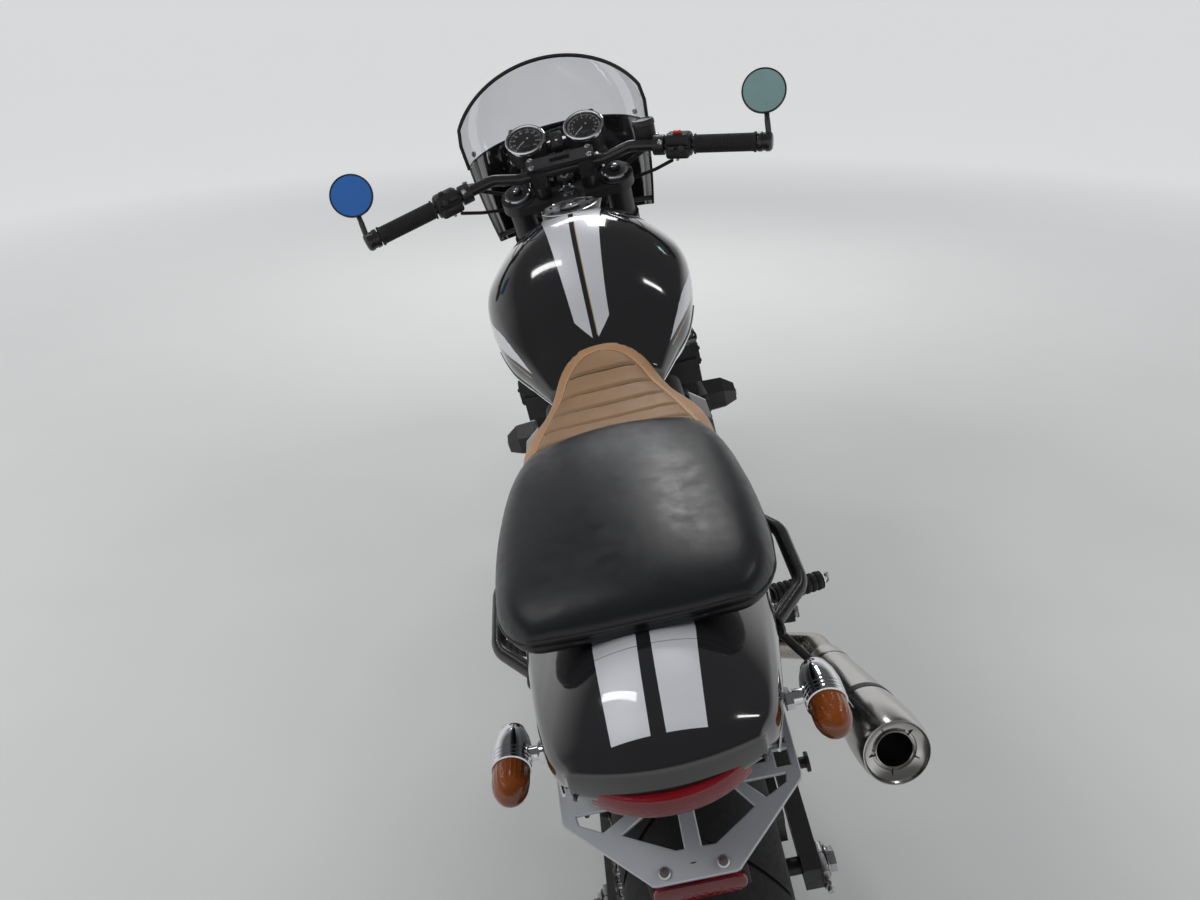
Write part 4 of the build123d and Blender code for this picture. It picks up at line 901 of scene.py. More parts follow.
def cushion(name, rows, limit, floor, bow, calm, reach, ease):
    """A stuffed cover: a slack closed skin, blown up by pressure with its base held, then made finer.

    Points below the floor's height are held and none moves further than limit. bow is how far a section
    sweeps back at its sides; floor and bow are given as places along the machine and values there. reach is
    how far both ends are domed. calm and ease are rounds of smoothing, of the movements and of the cover."""
    rings = []
    fine = [row - TUCK * GROW for row in smooth(rows, 5)]
    for row, out in ((fine[0], 1), (fine[-1], -1)):
        centre = Vector((0, row[0], (row[3] + row[4]) / 2))
        dome = []
        for size, away in ((0.25, reach), (0.5, 0.88 * reach), (0.74, 0.65 * reach), (0.92, 0.32 * reach)):
            dome.append([centre + (Vector(p) - centre) * size + Vector((0, out * away, 0))
                for p in over(row)])
        rings.append(dome)
    whole = rings[0] + [over(row) for row in fine] + rings[1][::-1]
    whole = [[(x, y - np.interp(y, *bow) * (x / 150) ** 2, z) for x, y, z in ring] for ring in whole]
    points, faces = stack(whole)
    obj = linked(name, mesh_of(name, [tuple(c * MM for c in p) for p in points], faces))
    remesh = obj.modifiers.new("even", "REMESH")
    remesh.mode = "VOXEL"
    remesh.voxel_size = COVER_CELL
    even = settled(obj)
    start = coordinates(even) * PER_METRE
    obj = linked(name, even)
    held = obj.vertex_groups.new(name="base")
    low = np.nonzero(start[:, 2] < np.interp(start[:, 1], *floor))[0]
    held.add([int(i) for i in low], 1.0, "REPLACE")
    cloth = obj.modifiers.new("cover", "CLOTH")
    cloth.settings.use_pressure = True
    cloth.settings.uniform_pressure_force = 4
    cloth.settings.effector_weights.gravity = 0
    cloth.settings.vertex_group_mass = "base"
    cloth.settings.pin_stiffness = 1
    cloth.settings.bending_stiffness = 12
    cloth.point_cache.frame_start = 1
    cloth.point_cache.frame_end = COVER_FRAMES
    for number in range(1, COVER_FRAMES + 1):
        bpy.context.scene.frame_set(number)
    even = settled(obj)
    bpy.context.scene.frame_set(1)
    moved = coordinates(even) * PER_METRE - start
    size = np.linalg.norm(moved, axis=1, keepdims=True)
    moved *= np.minimum(1, limit / np.maximum(size, 1e-6))
    moved = calmed(even, moved, calm)
    even.vertices.foreach_set("co", ((start + moved) * MM).ravel())
    obj = linked(name, even)
    taut = obj.modifiers.new("taut", "SMOOTH")
    taut.factor = 0.5
    taut.iterations = ease
    finer = obj.modifiers.new("finer", "SUBSURF")
    finer.levels = 1
    mesh = settled(obj)
    mesh.vertices.foreach_set("co", (coordinates(mesh) * PER_METRE).ravel())
    mesh.update()
    return mesh


def skin_of(mesh):
    """Finds the nearest point of a mesh, for lines that lie on it."""
    bm = bmesh.new()
    bm.from_mesh(mesh)
    tree = BVHTree.FromBMesh(bm)
    bm.free()
    return tree


def laid(tree, line, lift):
    """A line moved onto a skin, at a lift above it."""
    found = []
    for point in line:
        place, normal = tree.find_nearest(point)[:2]
        found.append(place + normal * lift)
    return found


def resample(line, step):
    """Points at equal steps along a line."""
    line = np.array([tuple(p) for p in line])
    run = np.concatenate(([0], np.cumsum(np.linalg.norm(np.diff(line, axis=0), axis=1))))
    return [Vector([np.interp(s, run, line[:, k]) for k in range(3)]) for s in np.arange(0, run[-1], step)]


def stitches(shape, line, pitch, radius, number=0):
    """Thread showing along a line: a short dash and a gap, again and again."""
    points = resample(line, pitch / 5)
    for i in range(0, len(points) - 4, 5):
        shape.add(tube(points[i:i + 4], [radius * 0.5, radius, radius, radius * 0.5], 6), finish=number)


def groove(distance, depth, width):
    """How deep a sewn line pulls the cover in at a distance from it."""
    return depth * np.exp(-(distance / width) ** 2)


def make_saddle():
    """The ribbed saddle: a padded cover with its border seam and channels cut in, and its thread."""
    floor, bow = ((-370, -190, -84), (758, 752, 834)), ((-362, -260), (46, 0))
    mesh = cushion("rider_cushion", SADDLE, 9, floor, bow, 25, 11, 6)
    co, normal = coordinates(mesh), coordinates(mesh, "normal")
    side = np.abs(co[:, 0])
    gap = seam_gap(side, co[:, 1])
    straight = co[:, 1] - 8 * (side / np.maximum(seam_at(co[:, 1]), 30)) ** 2
    upper = np.clip((normal[:, 2] - 0.25) / 0.3, 0, 1)
    cut = np.zeros(len(co))
    for line in CHANNELS:
        cut = np.maximum(cut, groove(straight - line, 4.2, 3.0) * np.clip(-gap / 5, 0, 1) * upper)
    cut = np.maximum(cut, groove(gap, 2.2, 2.6) * upper)
    moved = co - normal * cut[:, None]
    # The nose lies on the tank
    nose_y, clear = -118, 1.2
    for i in np.nonzero(moved[:, 1] > nose_y)[0]:
        moved[i, 2] = max(moved[i, 2], top_of(TANK, moved[i, 0], moved[i, 1]) + clear)
    mesh.vertices.foreach_set("co", moved.ravel())
    for mark, values in (("seam", gap), ("along", straight)):
        mesh.attributes.new(mark, "FLOAT", "POINT").data.foreach_set("value", values)
    obj = dress("rider_cushion", mesh, "chassis", "tan_leather", "tan_leather", "rider_seat", sharp=180)
    tree = skin_of(mesh)
    thread = Shape()
    for side_of in (-1, 1):
        ys = np.linspace(-112, -346, 80)
        line = [Vector((side_of * (seam_at(y) + 4.6), y, top_of(SADDLE, seam_at(y) + 4.6, y))) for y in ys]
        stitches(thread, laid(tree, line, 0.15), 5.4, 0.5)
    build("rider_stitching", thread, "chassis", "tan_thread", "tan_leather", sharp=60)


# How far the pad's sections sweep back at their sides, and where on a section its side seam lies
PAD_BOW = ((-560, -440, -352), (0, 5, 10))
PAD_SEAM = 0.75


def pad_front(x):
    """The line of the pad's front edge, a little behind it."""
    return np.interp(abs(x), (0, 45, 87, 110, 122), (-366, -368, -380, -396, -410))


def make_pad():
    """The pillion's cover with its low side seam, piping and stitched front edge."""
    floor = (-790, -720, -480, -352), (808, 802, 798, 804)
    mesh = cushion("pillion_cushion", PAD, 7, floor, PAD_BOW, 450, 7, 20)
    co, normal = coordinates(mesh), coordinates(mesh, "normal")
    upper = np.clip((normal[:, 2] - 0.1) / 0.3, 0, 1)
    ys = np.linspace(-772, -352, 60)
    seam_z = np.interp(co[:, 1], ys, [spot(row_at(PAD, y), PAD_SEAM)[2] for y in ys])
    cut = groove(co[:, 2] - seam_z, 2.0, 2.2) * (np.abs(normal[:, 2]) < 0.8)
    front = pad_front(co[:, 0])
    cut = np.maximum(cut, groove(co[:, 1] - front, 1.6, 2.4) * upper)
    mesh.vertices.foreach_set("co", (co - normal * cut[:, None]).ravel())
    obj = dress("pillion_cushion", mesh, "chassis", "black_vinyl", "black_vinyl", "pillion_pad", sharp=180)
    tree = skin_of(mesh)
    thread = Shape()
    line = [Vector((x, pad_front(x) + 3.5, top_of(PAD, x, pad_front(x)))) for x in np.linspace(-112, 112, 60)]
    stitches(thread, laid(tree, line, 0.2), 5.2, 0.55)
    build("pillion_stitching", thread, "chassis", "dark_thread", "black_vinyl", sharp=60)
    piping = Shape()
    edge = along(PAD, PAD_SEAM, -356, -770, 60)
    right = [Vector((p.x, p.y - np.interp(p.y, *PAD_BOW) * (p.x / 150) ** 2, p.z)) for p in edge]
    left = [Vector((-p.x, p.y, p.z)) for p in right]
    back = [Vector((x, -776, 826)) for x in np.linspace(110, -110, 12)]
    piping.add(tube(laid(tree, right + back + left[::-1], 0.4), 1.8, 8))
    build("pillion_piping", piping, "chassis", "piping", "black_vinyl", sharp=60)


# Tail, lamps and bracket

TAIL_BOW = 26


def make_tail():
    """The tail's shell, open below, whose rear edge bows backwards in the middle."""
    rows = smooth(TAIL, 7)
    last = rows[-1]
    rings = []
    for row in rows:
        bow = TAIL_BOW * max(0, (-860 - row[0]) / 62) ** 1.5
        rings.append([(x, y + bow * (x / last[1]) ** 2, z) for x, y, z in over(row)])
    for close, back in ((0.06, 2.4), (0.22, 4.6), (0.55, 6.2), (0.95, 6.8)):
        edge = []
        for x, y, z in over(last):
            edge.append((x * (1 - 0.03 * close), y - back + TAIL_BOW * (x / last[1]) ** 2,
                z + (last[4] - z) * close))
        rings.append(edge)
    shell = Shape().add(stack(rings, ends=False, around=False))
    build("tail_shell", shell, "chassis", "tail_paint", "gloss_black", "tail_cowl", thick=4, subdivide=1,
        sharp=60)
    trim = Shape()
    for side in (-1, 1):
        trim.add(tube(along(TAIL, 0.03, -560, -884, 40, lift=0.8, side=side), 1.9, 8))
    build("tail_trims", trim, "chassis", "zinc", "silver_alloy")


def arc(left, middle, right, steps=16):
    """Points on the circle through three points in a plane."""
    a, b, c = Vector(left), Vector(middle), Vector(right)
    u, v = b - a, c - a
    n = u.cross(v)
    centre = a + (v.cross(n) * u.length_squared - u.cross(n) * v.length_squared) / (2 * n.length_squared)
    first, last = a - centre, c - centre
    turned = first.angle(last)
    if (b - centre).angle(first) + (b - centre).angle(last) > turned + 1e-4:
        turned = 2 * pi - turned
    axis = n.normalized()
    if (Matrix.Rotation(turned, 3, axis) @ first - last).length > 1e-2:
        axis = -axis
    return [centre + Matrix.Rotation(turned * k / steps, 3, axis) @ first for k in range(steps + 1)]


def plate(outline, holes, thick, edge=0.0):
    """A flat plate with windows, centred in z, its rims rounded."""
    bm = bmesh.new()
    loops = []
    for line in [outline] + list(holes):
        points = [bm.verts.new((x, y, -thick / 2)) for x, y in line]
        loops += [bm.edges.new((points[i], points[i - 1])) for i in range(len(points))]
    bmesh.ops.triangle_fill(bm, use_beauty=True, edges=loops)
    raised = bmesh.ops.extrude_face_region(bm, geom=bm.faces[:])
    bmesh.ops.translate(bm, vec=(0, 0, thick), verts=[v for v in raised["geom"]
        if isinstance(v, bmesh.types.BMVert)])
    bmesh.ops.recalc_face_normals(bm, faces=bm.faces)
    if edge:
        rims = [e for e in bm.edges if len(e.link_faces) == 2 and e.calc_face_angle(0) > 1.2
                and abs(e.verts[0].co.z - e.verts[1].co.z) < 1e-6]
        bmesh.ops.bevel(bm, geom=rims, offset=edge, segments=1, profile=0.5, affect="EDGES")
    bm.verts.index_update()
    return from_bmesh(bm)


def circle(radius, x=0.0, y=0.0, steps=24):
    return [(x + away, y + up) for away, up in round_points(steps, radius)]


BRACKET_TILT = degrees(asin(0.407))


def make_rear():
    """Tail lamp, reflector, undertray, grab rails and number plate bracket."""
    lamp = Shape()
    outer = [(p.x, p.y) for p in arc((-72, -908, 0), (0, -936, 0), (72, -908, 0), 28)]
    inner = [(p.x, p.y) for p in arc((66, -888, 0), (0, -908, 0), (-66, -888, 0), 28)]
    lamp.add(prism(outer + [(73, -899)] + inner + [(-73, -899)], 23, 4, 3), at(z=754))
    pill = [(side_x * (34 + 12 * cos(a)), 12 * sin(a)) for side_x, a in
            [(1, pi * (k / 12 - 0.5)) for k in range(13)] + [(-1, pi * (0.5 - k / 12)) for k in range(13)]]
    lamp.add(prism(pill, 9, 3, 3), at(0, -908, 604, rx=90))
    build("rear_lenses", lamp, "chassis", "red_lens", "red_lens", "rear_lamps", sharp=40)
    base = Shape()
    base.add(block(98, 4, 29, 1.6), at(0, -902.5, 604))
    base.add(tube([(0, -903, 618), (0, -903, 634), (0, -904, 644)], 6, 12))
    build("reflector_holder", base, "chassis", "plastic", "black_plastic", sharp=40)

    tray = Shape()
    tray.add(block(194, 420, 4, 1.5), at(0, -630, 668))
    for side in (-1, 1):
        tray.add(block(4, 340, 44, 1.5), at(side * 95, -600, 690))
        for y in (-740, -640, -540, -460):
            tray.add(block(10, 4, 26, 1), at(side * 90, y, 682))
    tray.add(block(196, 240, 5, 2), at(0, -248, 735))
    tray.add(block(150, 44, 5, 2), at(0, -820, 672, rx=BRACKET_TILT))
    for x in (-60, 0, 60):
        tray.add(block(5, 380, 7, 2), at(x, -630, 664))
    build("inner_fender", tray, "chassis", "plastic", "black_plastic", "undertray", sharp=40)
    rails = Shape()
    for side in (-1, 1):
        path = [(side * 134, -462, 725), (side * 182, -526, 718), (side * 186, -612, 696),
            (side * 134, -671, 691)]
        rails.add(tube(bent(path, 34), 9, 18))
        for end, way in ((path[0], (side, -0.6, 0)), (path[-1], (side, 0.6, 0))):
            rails.turned([(9, 0), (15, 1), (15, 4), (9.5, 6)], 24, aim(Vector(end) + Vector(way) * 5, way))
    build("grab_tubes", rails, "chassis", "frame_black", "satin_black", "grab_rails", sharp=40)

    bracket = Shape()
    place = at(0, -812, 680, rx=BRACKET_TILT)
    half = [(38, -118), (42, -117), (45, -114), (118, -49), (120, -44), (120, 20), (116, 24), (96, 24),
        (92, 20), (92, -26)]
    outline = half + [(-x, y) for x, y in half[::-1]]
    windows = [
        [(-105, -41), (-103, -50), (-80, -61), (-41, -41)],
        [(-63, -67), (-16, -41), (-6, -41), (-6, -90), (-14, -90)],
        [(10, -41), (50, -41), (68, -65), (24, -91), (11, -90)],
        [(64, -41), (81, -59), (103, -49), (105, -41)],
        [(98, -6), (112, -6), (112, -12), (98, -12)],
        [(98, -18), (112, -18), (112, -34), (98, -34)],
    ]
    windows += [circle(3.3, side * 28, -108, 16) for side in (-1, 1)]
    bracket.add(plate(outline, windows, 6, 1.1), place @ at(z=3))
    for side in (-1, 1):
        bracket.cap_screw(place @ at(side * 106, 6, 6), 6, 5, 1)
        bracket.turned([(3.2, -4), (3.2, 6), (6, 6.1), (6, 8.4), (4.6, 10), (0.1, 10.4)], 20,
            place @ at(side * 28, -108), 1)
    build("plate_holder", bracket, "chassis", "brushed_alloy zinc", "silver_alloy", "plate_bracket", sharp=30)


def bullet(shape, place, radius, body, lens, ribs=3):
    """A chrome bullet with grooves and a ribbed lens, its lens along z."""
    r = radius
    profile = [(0.4, -body), (r * 0.35, -body * 0.985), (r * 0.68, -body * 0.82), (r * 0.9, -body * 0.5),
        (r, -body * 0.18)]
    for k in range(ribs):
        h = 1 + 5 * k
        profile += [(r, h), (r - 1.3, h + 0.5), (r - 1.3, h + 2), (r, h + 2.5)]
    profile += [(r, 17), (r - 1.6, 17.6), (r - 2.4, 16)]
    shape.turned(profile, 40, place, 0)
    dome = []
    for k in range(37):
        t = k / 36
        size = r - 2 if t < 0.3 else (r - 2) * sqrt(max(0, 1 - ((t - 0.3) / 0.7) ** 2.4))
        dome.append((max(0.2, size), 16 + (lens - 16) * t))
    rings = []
    for size, h in dome:
        ridge, dip = round_points(48, size), round_points(48, 0.97 * size)
        rings.append([(*(dip if k % 2 else ridge)[k], h) for k in range(48)])
    shape.add(stack(rings), place, 1)


def make_indicators():
    y, z = -796, 707
    rear = Shape()
    for side in (-1, 1):
        bullet(rear, aim((side * 161, y, z), (0, -1, 0)), 21, 42, 58)
        rear.add(tube([(side * 150, y, z), (side * 122, y, z)], 8, 20))
        rear.turned([(8, 0), (10.5, 1), (10.5, 5), (8, 6)], 24, aim((side * 141, y, z), (side, 0, 0)))
    rear.add(hexagon(20, 9), aim((126, y, z), (1, 0, 0)))
    rear.add(block(18, 20, 18, 2), at(-124, y, z))
    build("rear_signals", rear, "chassis", "chrome amber_lens", "chrome", "rear_indicators", sharp=32)
    front = Shape()
    for side in (-1, 1):
        bullet(front, aim((side * 150, 535, 818), (0, 1, 0)), 18, 38, 44, 2)
        front.add(tube([(side * 112, 489, 814), (side * 138, 522, 816.6)], 6, 16))
    build("front_signals", front, "front_end", "chrome amber_lens", "chrome", "front_indicators", sharp=32)


# Silencer

CAN_START, CAN_STOP = Vector((257, -300, 262)), Vector((280, -600, 364))
CAN = aim(CAN_START, CAN_STOP - CAN_START)


def make_silencer():
    long = (CAN_STOP - CAN_START).length
    place = CAN
    body = Shape()
    skin = [(26, -4), (30.2, -2), (31, 4), (33, 30), (33.6, 36), (50, long - 70), (51, long - 48),
        (51, long - 30), (49.4, long - 8)]
    skin += [(48.2, long - 1), (47.4, long + 1.4), (46, long + 1.8), (44.6, long), (43, long - 3),
        (37, long - 7), (31.6, long - 9)]
    skin += [(31, long - 10), (30.8, long - 15), (28.4, long - 15), (28, long - 8.6), (26.8, long - 7.6),
        (25.4, long - 8.4), (24.4, long - 14), (24, long - 120)]
    body.turned(skin, 96, place, ends=False)
    body.turned([(24, long - 118), (0.1, long - 119)], 48, place, 1, ends=False)
    body.turned([(33.4, 30), (34.4, 31), (34.4, 36), (33.8, 37)], 72, place, loop=True)
    body.turned([(44.2, long - 128), (46.2, long - 127), (47.4, long - 113), (45.2, long - 112)], 72, place,
        2, loop=True)
    for k in range(5):
        body.add(block(1.3, 12, 3.4, 0.4), place @ at(rz=72 * k + 20) @ at(0, 33, long - 8.2), 1)
    seam = []
    for k in range(20):
        t = k / 19
        radius = 33.8 + (50 - 33.6) * t
        seam.append(place @ Vector((radius * cos(2.2), radius * sin(2.2), 38 + (long - 110) * t)))
    body.add(tube(seam, 0.8, 6))
    # The hanger that carries the can from the rider's footrest
    body.add(tube([(156, -336, 428), (196, -372, 381), (238, -408, 333)], 7, 14), None, 2)
    body.bolt(aim((158, -338, 430), (-0.5, 0.3, 1)), 12, 7, 2)
    body.bolt(aim((236, -404, 342), (-0.2, 0.2, 1)), 12, 6, 2)
    build("silencer_can", body, "chassis", "stainless cast_black satin_black", "stainless", "silencer",
        sharp=28)


# Wheels

def make_tyre(name, node, body, centre, sizes, pitches, sweep, depth, wide):
    """A road tyre: slanted grooves cut between pairs of rings, alternately on each side."""
    outer, crown, tread, bead = sizes
    edge_r = outer - crown + sqrt(crown ** 2 - tread ** 2)
    wall_r = BEAD_R + 12
    reach = asin(tread / crown)
    columns = []
    count = 15
    for k in range(count + 1):
        angle = reach * k / count
        columns.append((crown * sin(angle), outer - crown + crown * cos(angle), k / count))
    wall = [(tread, edge_r - 3), (tread * 1.012, edge_r - 9), (tread - 0.2, edge_r * 0.62 + wall_r * 0.38)]
    wall += [(tread - 3.2, edge_r * 0.4 + wall_r * 0.6), (bead + 5.5, wall_r + 9), (bead + 4.6, wall_r + 5)]
    wall += [(bead + 1.6, wall_r + 2.4), (bead, wall_r - 2), (bead, BEAD_R)]
    columns += [(x, r, 2.0) for x, r in wall]
    half = [(-x, r, t, -1) for x, r, t in reversed(columns)][:-1] + [(x, r, t, 1) for x, r, t in columns]
    angle_wide = wide / outer
    lip = 0.35 / outer
    pitch = 2 * pi / pitches
    marks = []
    for n in range(pitches):
        for which, base in ((-1, 0.0), (1, 0.5)):
            start = (n + base) * pitch
            marks += [(start, 0), (start + lip, which), (start + angle_wide - lip, which),
                (start + angle_wide, 0)]
            marks += [(start + angle_wide + (pitch / 2 - angle_wide) * f, 0) for f in (0.33, 0.66)]
    rings = []
    for angle, which in marks:
        ring = []
        for x, r, t, side in half:
            a = angle + sweep * min(t, 1.0) ** 1.25
            if which == side and 0.1 < t < 0.93:
                r -= depth * min(1.0, (t - 0.06) * 6)
            ring.append((x, centre.y + r * cos(a), centre.z + r * sin(a)))
        rings.append(ring)
    build(name, Shape().add(stack(rings, loop=True)), body, "tyre", "tyre_rubber", node, sharp=38)


def make_wheels():
    make_tyre("front_tread", "front_tyre", "front_wheel", FRONT_AXLE, FRONT_TYRE, 22, radians(-17), 4.5, 5.0)
    make_tyre("rear_tread", "rear_tyre", "rear_wheel", REAR_AXLE, REAR_TYRE, 20, radians(15), 5.5, 5.6)


make_tank()
make_saddle()
make_pad()
make_tail()
make_rear()
make_indicators()
make_silencer()
make_wheels()


# Bars, controls and mirrors

BAR_END = Vector((385, 280, 1011))
BAR_BEND = Vector((140, 364, 1048))
BAR_WAY = (BAR_BEND - BAR_END).normalized()
STEER = at(0, 408.12, 900, rx=25)
FORK_X, FORK_Y = 102, 36
# The bar's clamping radius, and how far in along the bar the grips, switches and levers sit
BAR_R = 11.3
GRIP_IN, SWITCH_IN, LEVER_IN = 16, 164, 203


def on_bar(distance, turned=0.0):
    """A place on the right end of the bar: x forward of it, z in along it."""
    return aim(BAR_END + BAR_WAY * distance, BAR_WAY, (0, 1, 0)) @ at(rz=turned)


def on_switch(side):
    """The middle of a switch housing: x in along the bar, y forward, z up."""
    origin = BAR_END + BAR_WAY * SWITCH_IN
    forward = Vector((0, 0, 1)).cross(BAR_WAY).normalized() * -1
    if forward.y < 0:
        forward = -forward
    up = BAR_WAY.cross(forward)
    if up.z < 0:
        up = -up
    place = Matrix((BAR_WAY, forward, up)).transposed().to_4x4()
    place.translation = origin
    return sided(side) @ place


def make_grips():
    profile = [(BAR_R, 0), (18.6, 0.3), (19, 2), (18.6, 4), (17, 5.2)]
    for k in range(26):
        h = 7 + 4.1 * k
        profile += [(17, h), (17, h + 2.4), (16.2, h + 2.8), (16.2, h + 3.7)]
    profile += [(17, 114.5), (18.8, 115.2), (18.8, 117.6), (BAR_R, 118)]
    shape = Shape()
    for side in (1, -1):
        shape.turned(profile, 36, sided(side) @ on_bar(GRIP_IN), ends=False)
    build("bar_grips", shape, "front_end", "rubber", "rubber", "grips", sharp=35)


def make_switches():
    shape = Shape()
    for side in (-1, 1):
        place = on_switch(side)
        for z in (11.6, -11.6):
            shape.add(block(46, 42, 22, 6, 3), place @ at(0, -4, z))
        shape.add(block(44.6, 40.6, 4, 1), place @ at(0, -4, 0))
        shape.turned([(BAR_R, -25), (20, -25), (21.4, -23.6), (21.4, 22), (20, 23.4), (BAR_R, 23.4)], 40,
                  place @ at(ry=90), ends=False)
        for y in (-19, 10):
            shape.cap_screw(place @ at(0, y, -23.4, rx=180), 3.2, 2.6, 1)
    left = on_switch(-1)
    for size, place, number in (((15, 9, 5, 1.5), (-8, -18, 22.5), 2), ((9, 6, 6, 1.6), (-8, -18, 26), 3),
                                ((12, 12, 5, 2), (10, -16, 22.5), 3)):
        shape.add(block(*size), left @ at(*place, rx=12), number)
    shape.turned([(6, 0), (6, 3), (5, 4.4), (0.1, 4.8)], 24, left @ at(-9, -25, 8, rx=90), 3)
    shape.add(block(16, 4, 8, 1.5), left @ at(10, -25.6, 8), 3)
    shape.add(block(20, 4, 7, 1.5), left @ at(0, -25.6, -9), 3)
    right = on_switch(1)
    shape.add(block(18, 14, 4, 2), right @ at(0, -14, 22.8, rx=10), 2)
    shape.add(block(15, 9, 7, 2.2), right @ at(0, -15, 26, rx=10), 4)
    shape.turned([(6.5, 0), (6.5, 3), (5.4, 4.6), (0.1, 5)], 24, right @ at(-8, -25, -2, rx=90), 3)
    shape.add(block(13, 4, 8, 1.5), right @ at(11, -25.6, -2), 3)
    build("bar_switches", shape, "front_end", "plastic zinc dial_black satin_black kill_red", "black_plastic",
        "switchgear", sharp=32)


def make_levers():
    """Levers on their perches, and the brake reservoir on the right."""
    shape = Shape()
    perch = BAR_END + BAR_WAY * LEVER_IN
    for side in (-1, 1):
        flip = sided(side)
        shape.turned([(BAR_R, -11), (18, -11), (19, -10), (19, 10), (18, 11), (BAR_R, 11)], 36,
            flip @ on_bar(LEVER_IN), ends=False)
        shape.add(block(30, 36, 18, 4), flip @ at(perch.x - 4, perch.y + 30, perch.z))
        shape.bolt(flip @ at(perch.x + 2, perch.y + 44, perch.z + 9), 9, 5, 1)
        shape.bolt(flip @ at(perch.x, perch.y - 17, perch.z + 8, rx=100), 7, 4, 1)
        blade = curve([perch + Vector((-2, 44, -2)), perch + Vector((26, 47, -4)),
            perch + Vector((60, 38, -8)),
                       perch + Vector((104, 13, -17)), Vector((352, 344, 1008)), Vector((367, 338, 1007))], 7)
        radii = [7.5 - 2.6 * min(1, k / 12) for k in range(len(blade))]
        for k in range(-5, 0):
            radii[k] = (4.6, 5.4, 7.2, 8.2, 6.5)[k + 5]
        shape.add(tube(blade, radii, 14), flip)
    foot_at = at(*(perch + Vector((-20, 40, 8))))
    shape.turned([(17, -1), (19.5, 0), (21, 4), (21, 27), (19.8, 28)], 48, foot_at, 2)
    cap = [(20, 27), (21.8, 28.2), (21.8, 37), (20.4, 39.6), (16, 40), (15, 38.6), (0.1, 38.6)]
    shape.turned(cap, 48, foot_at)
    for k in range(12):
        shape.add(block(2.2, 3.4, 7, 0.8), foot_at @ at(rz=30 * k) @ at(21.4, 0, 32.6))
    build("bar_levers", shape, "front_end", "satin_black zinc plastic", "satin_black", "levers", sharp=32)


def make_mirrors():
    shape, glass = Shape(), Shape()
    face = aim((399, 298, 1098), (-0.12, -0.90, 0.42))
    for side in (-1, 1):
        flip = sided(side)
        cap = [(0.1, -14.6), (11, -14.4), (15, -13), (18, -9), (18, -2), (16.6, -1), (16.6, 4), (18, 5),
            (18, 12), (16.8, 14), (BAR_R, 14)]
        shape.turned(cap, 36, flip @ on_bar(0), ends=False)
        start = BAR_END + BAR_WAY * -8
        stem = bent([start, (395, 284, 1051), (399, 295, 1070)], 16)
        shape.add(tube(stem, [5.4] * 3 + [5] * (len(stem) - 3), 16), flip)
        shape.turned([(5, -6), (8, -5.5), (8.4, 0), (8, 5.5), (5, 6)], 24,
            flip @ aim(stem[-1], (0.05, 0.1, 1)))
        back = [(0.1, -17), (12, -16.6), (26, -14.4), (36, -10.4), (41, -5.4), (41.6, -1.6), (41, 0.4),
            (39.4, 0.4), (38.6, -0.8)]
        shape.turned(back, 64, flip @ face, ends=False)
        # The left glass takes the blue painted reflection and the right one the teal
        glass.turned([(38.8, -1.4), (38.2, -0.3), (26, 0.05), (12, 0.25), (0.1, 0.3)], 64, flip @ face,
            int(side > 0))
    build("bar_mirrors", shape, "front_end", "frame_black", "satin_black", "mirrors", sharp=32)
    build("mirror_glasses", glass, "front_end", "blue_mirror teal_mirror", "mirror_glass", sharp=32)


# Instruments

def figures(text, high):
    """A flat number, as points and faces centred on the origin."""
    font = bpy.data.curves.new("figures", "FONT")
    font.body = text
    font.size = high
    font.align_x = "CENTER"
    font.align_y = "CENTER"
    font.resolution_u = 2
    font.extrude = 0.12
    mesh = settled(linked("figures", font))
    points = [tuple(v.co) for v in mesh.vertices]
    faces = [tuple(face.vertices) for face in mesh.polygons]
    bpy.data.meshes.remove(mesh)
    return points, faces


# The dials' first mark and sweep in degrees; how far out ticks end and figures sit, and the dial's height
DIAL_FROM, DIAL_SWEEP = 225, 270
TICK_END, FIGURE_R, DIAL_TOP = 33.4, 24.2, -2.9


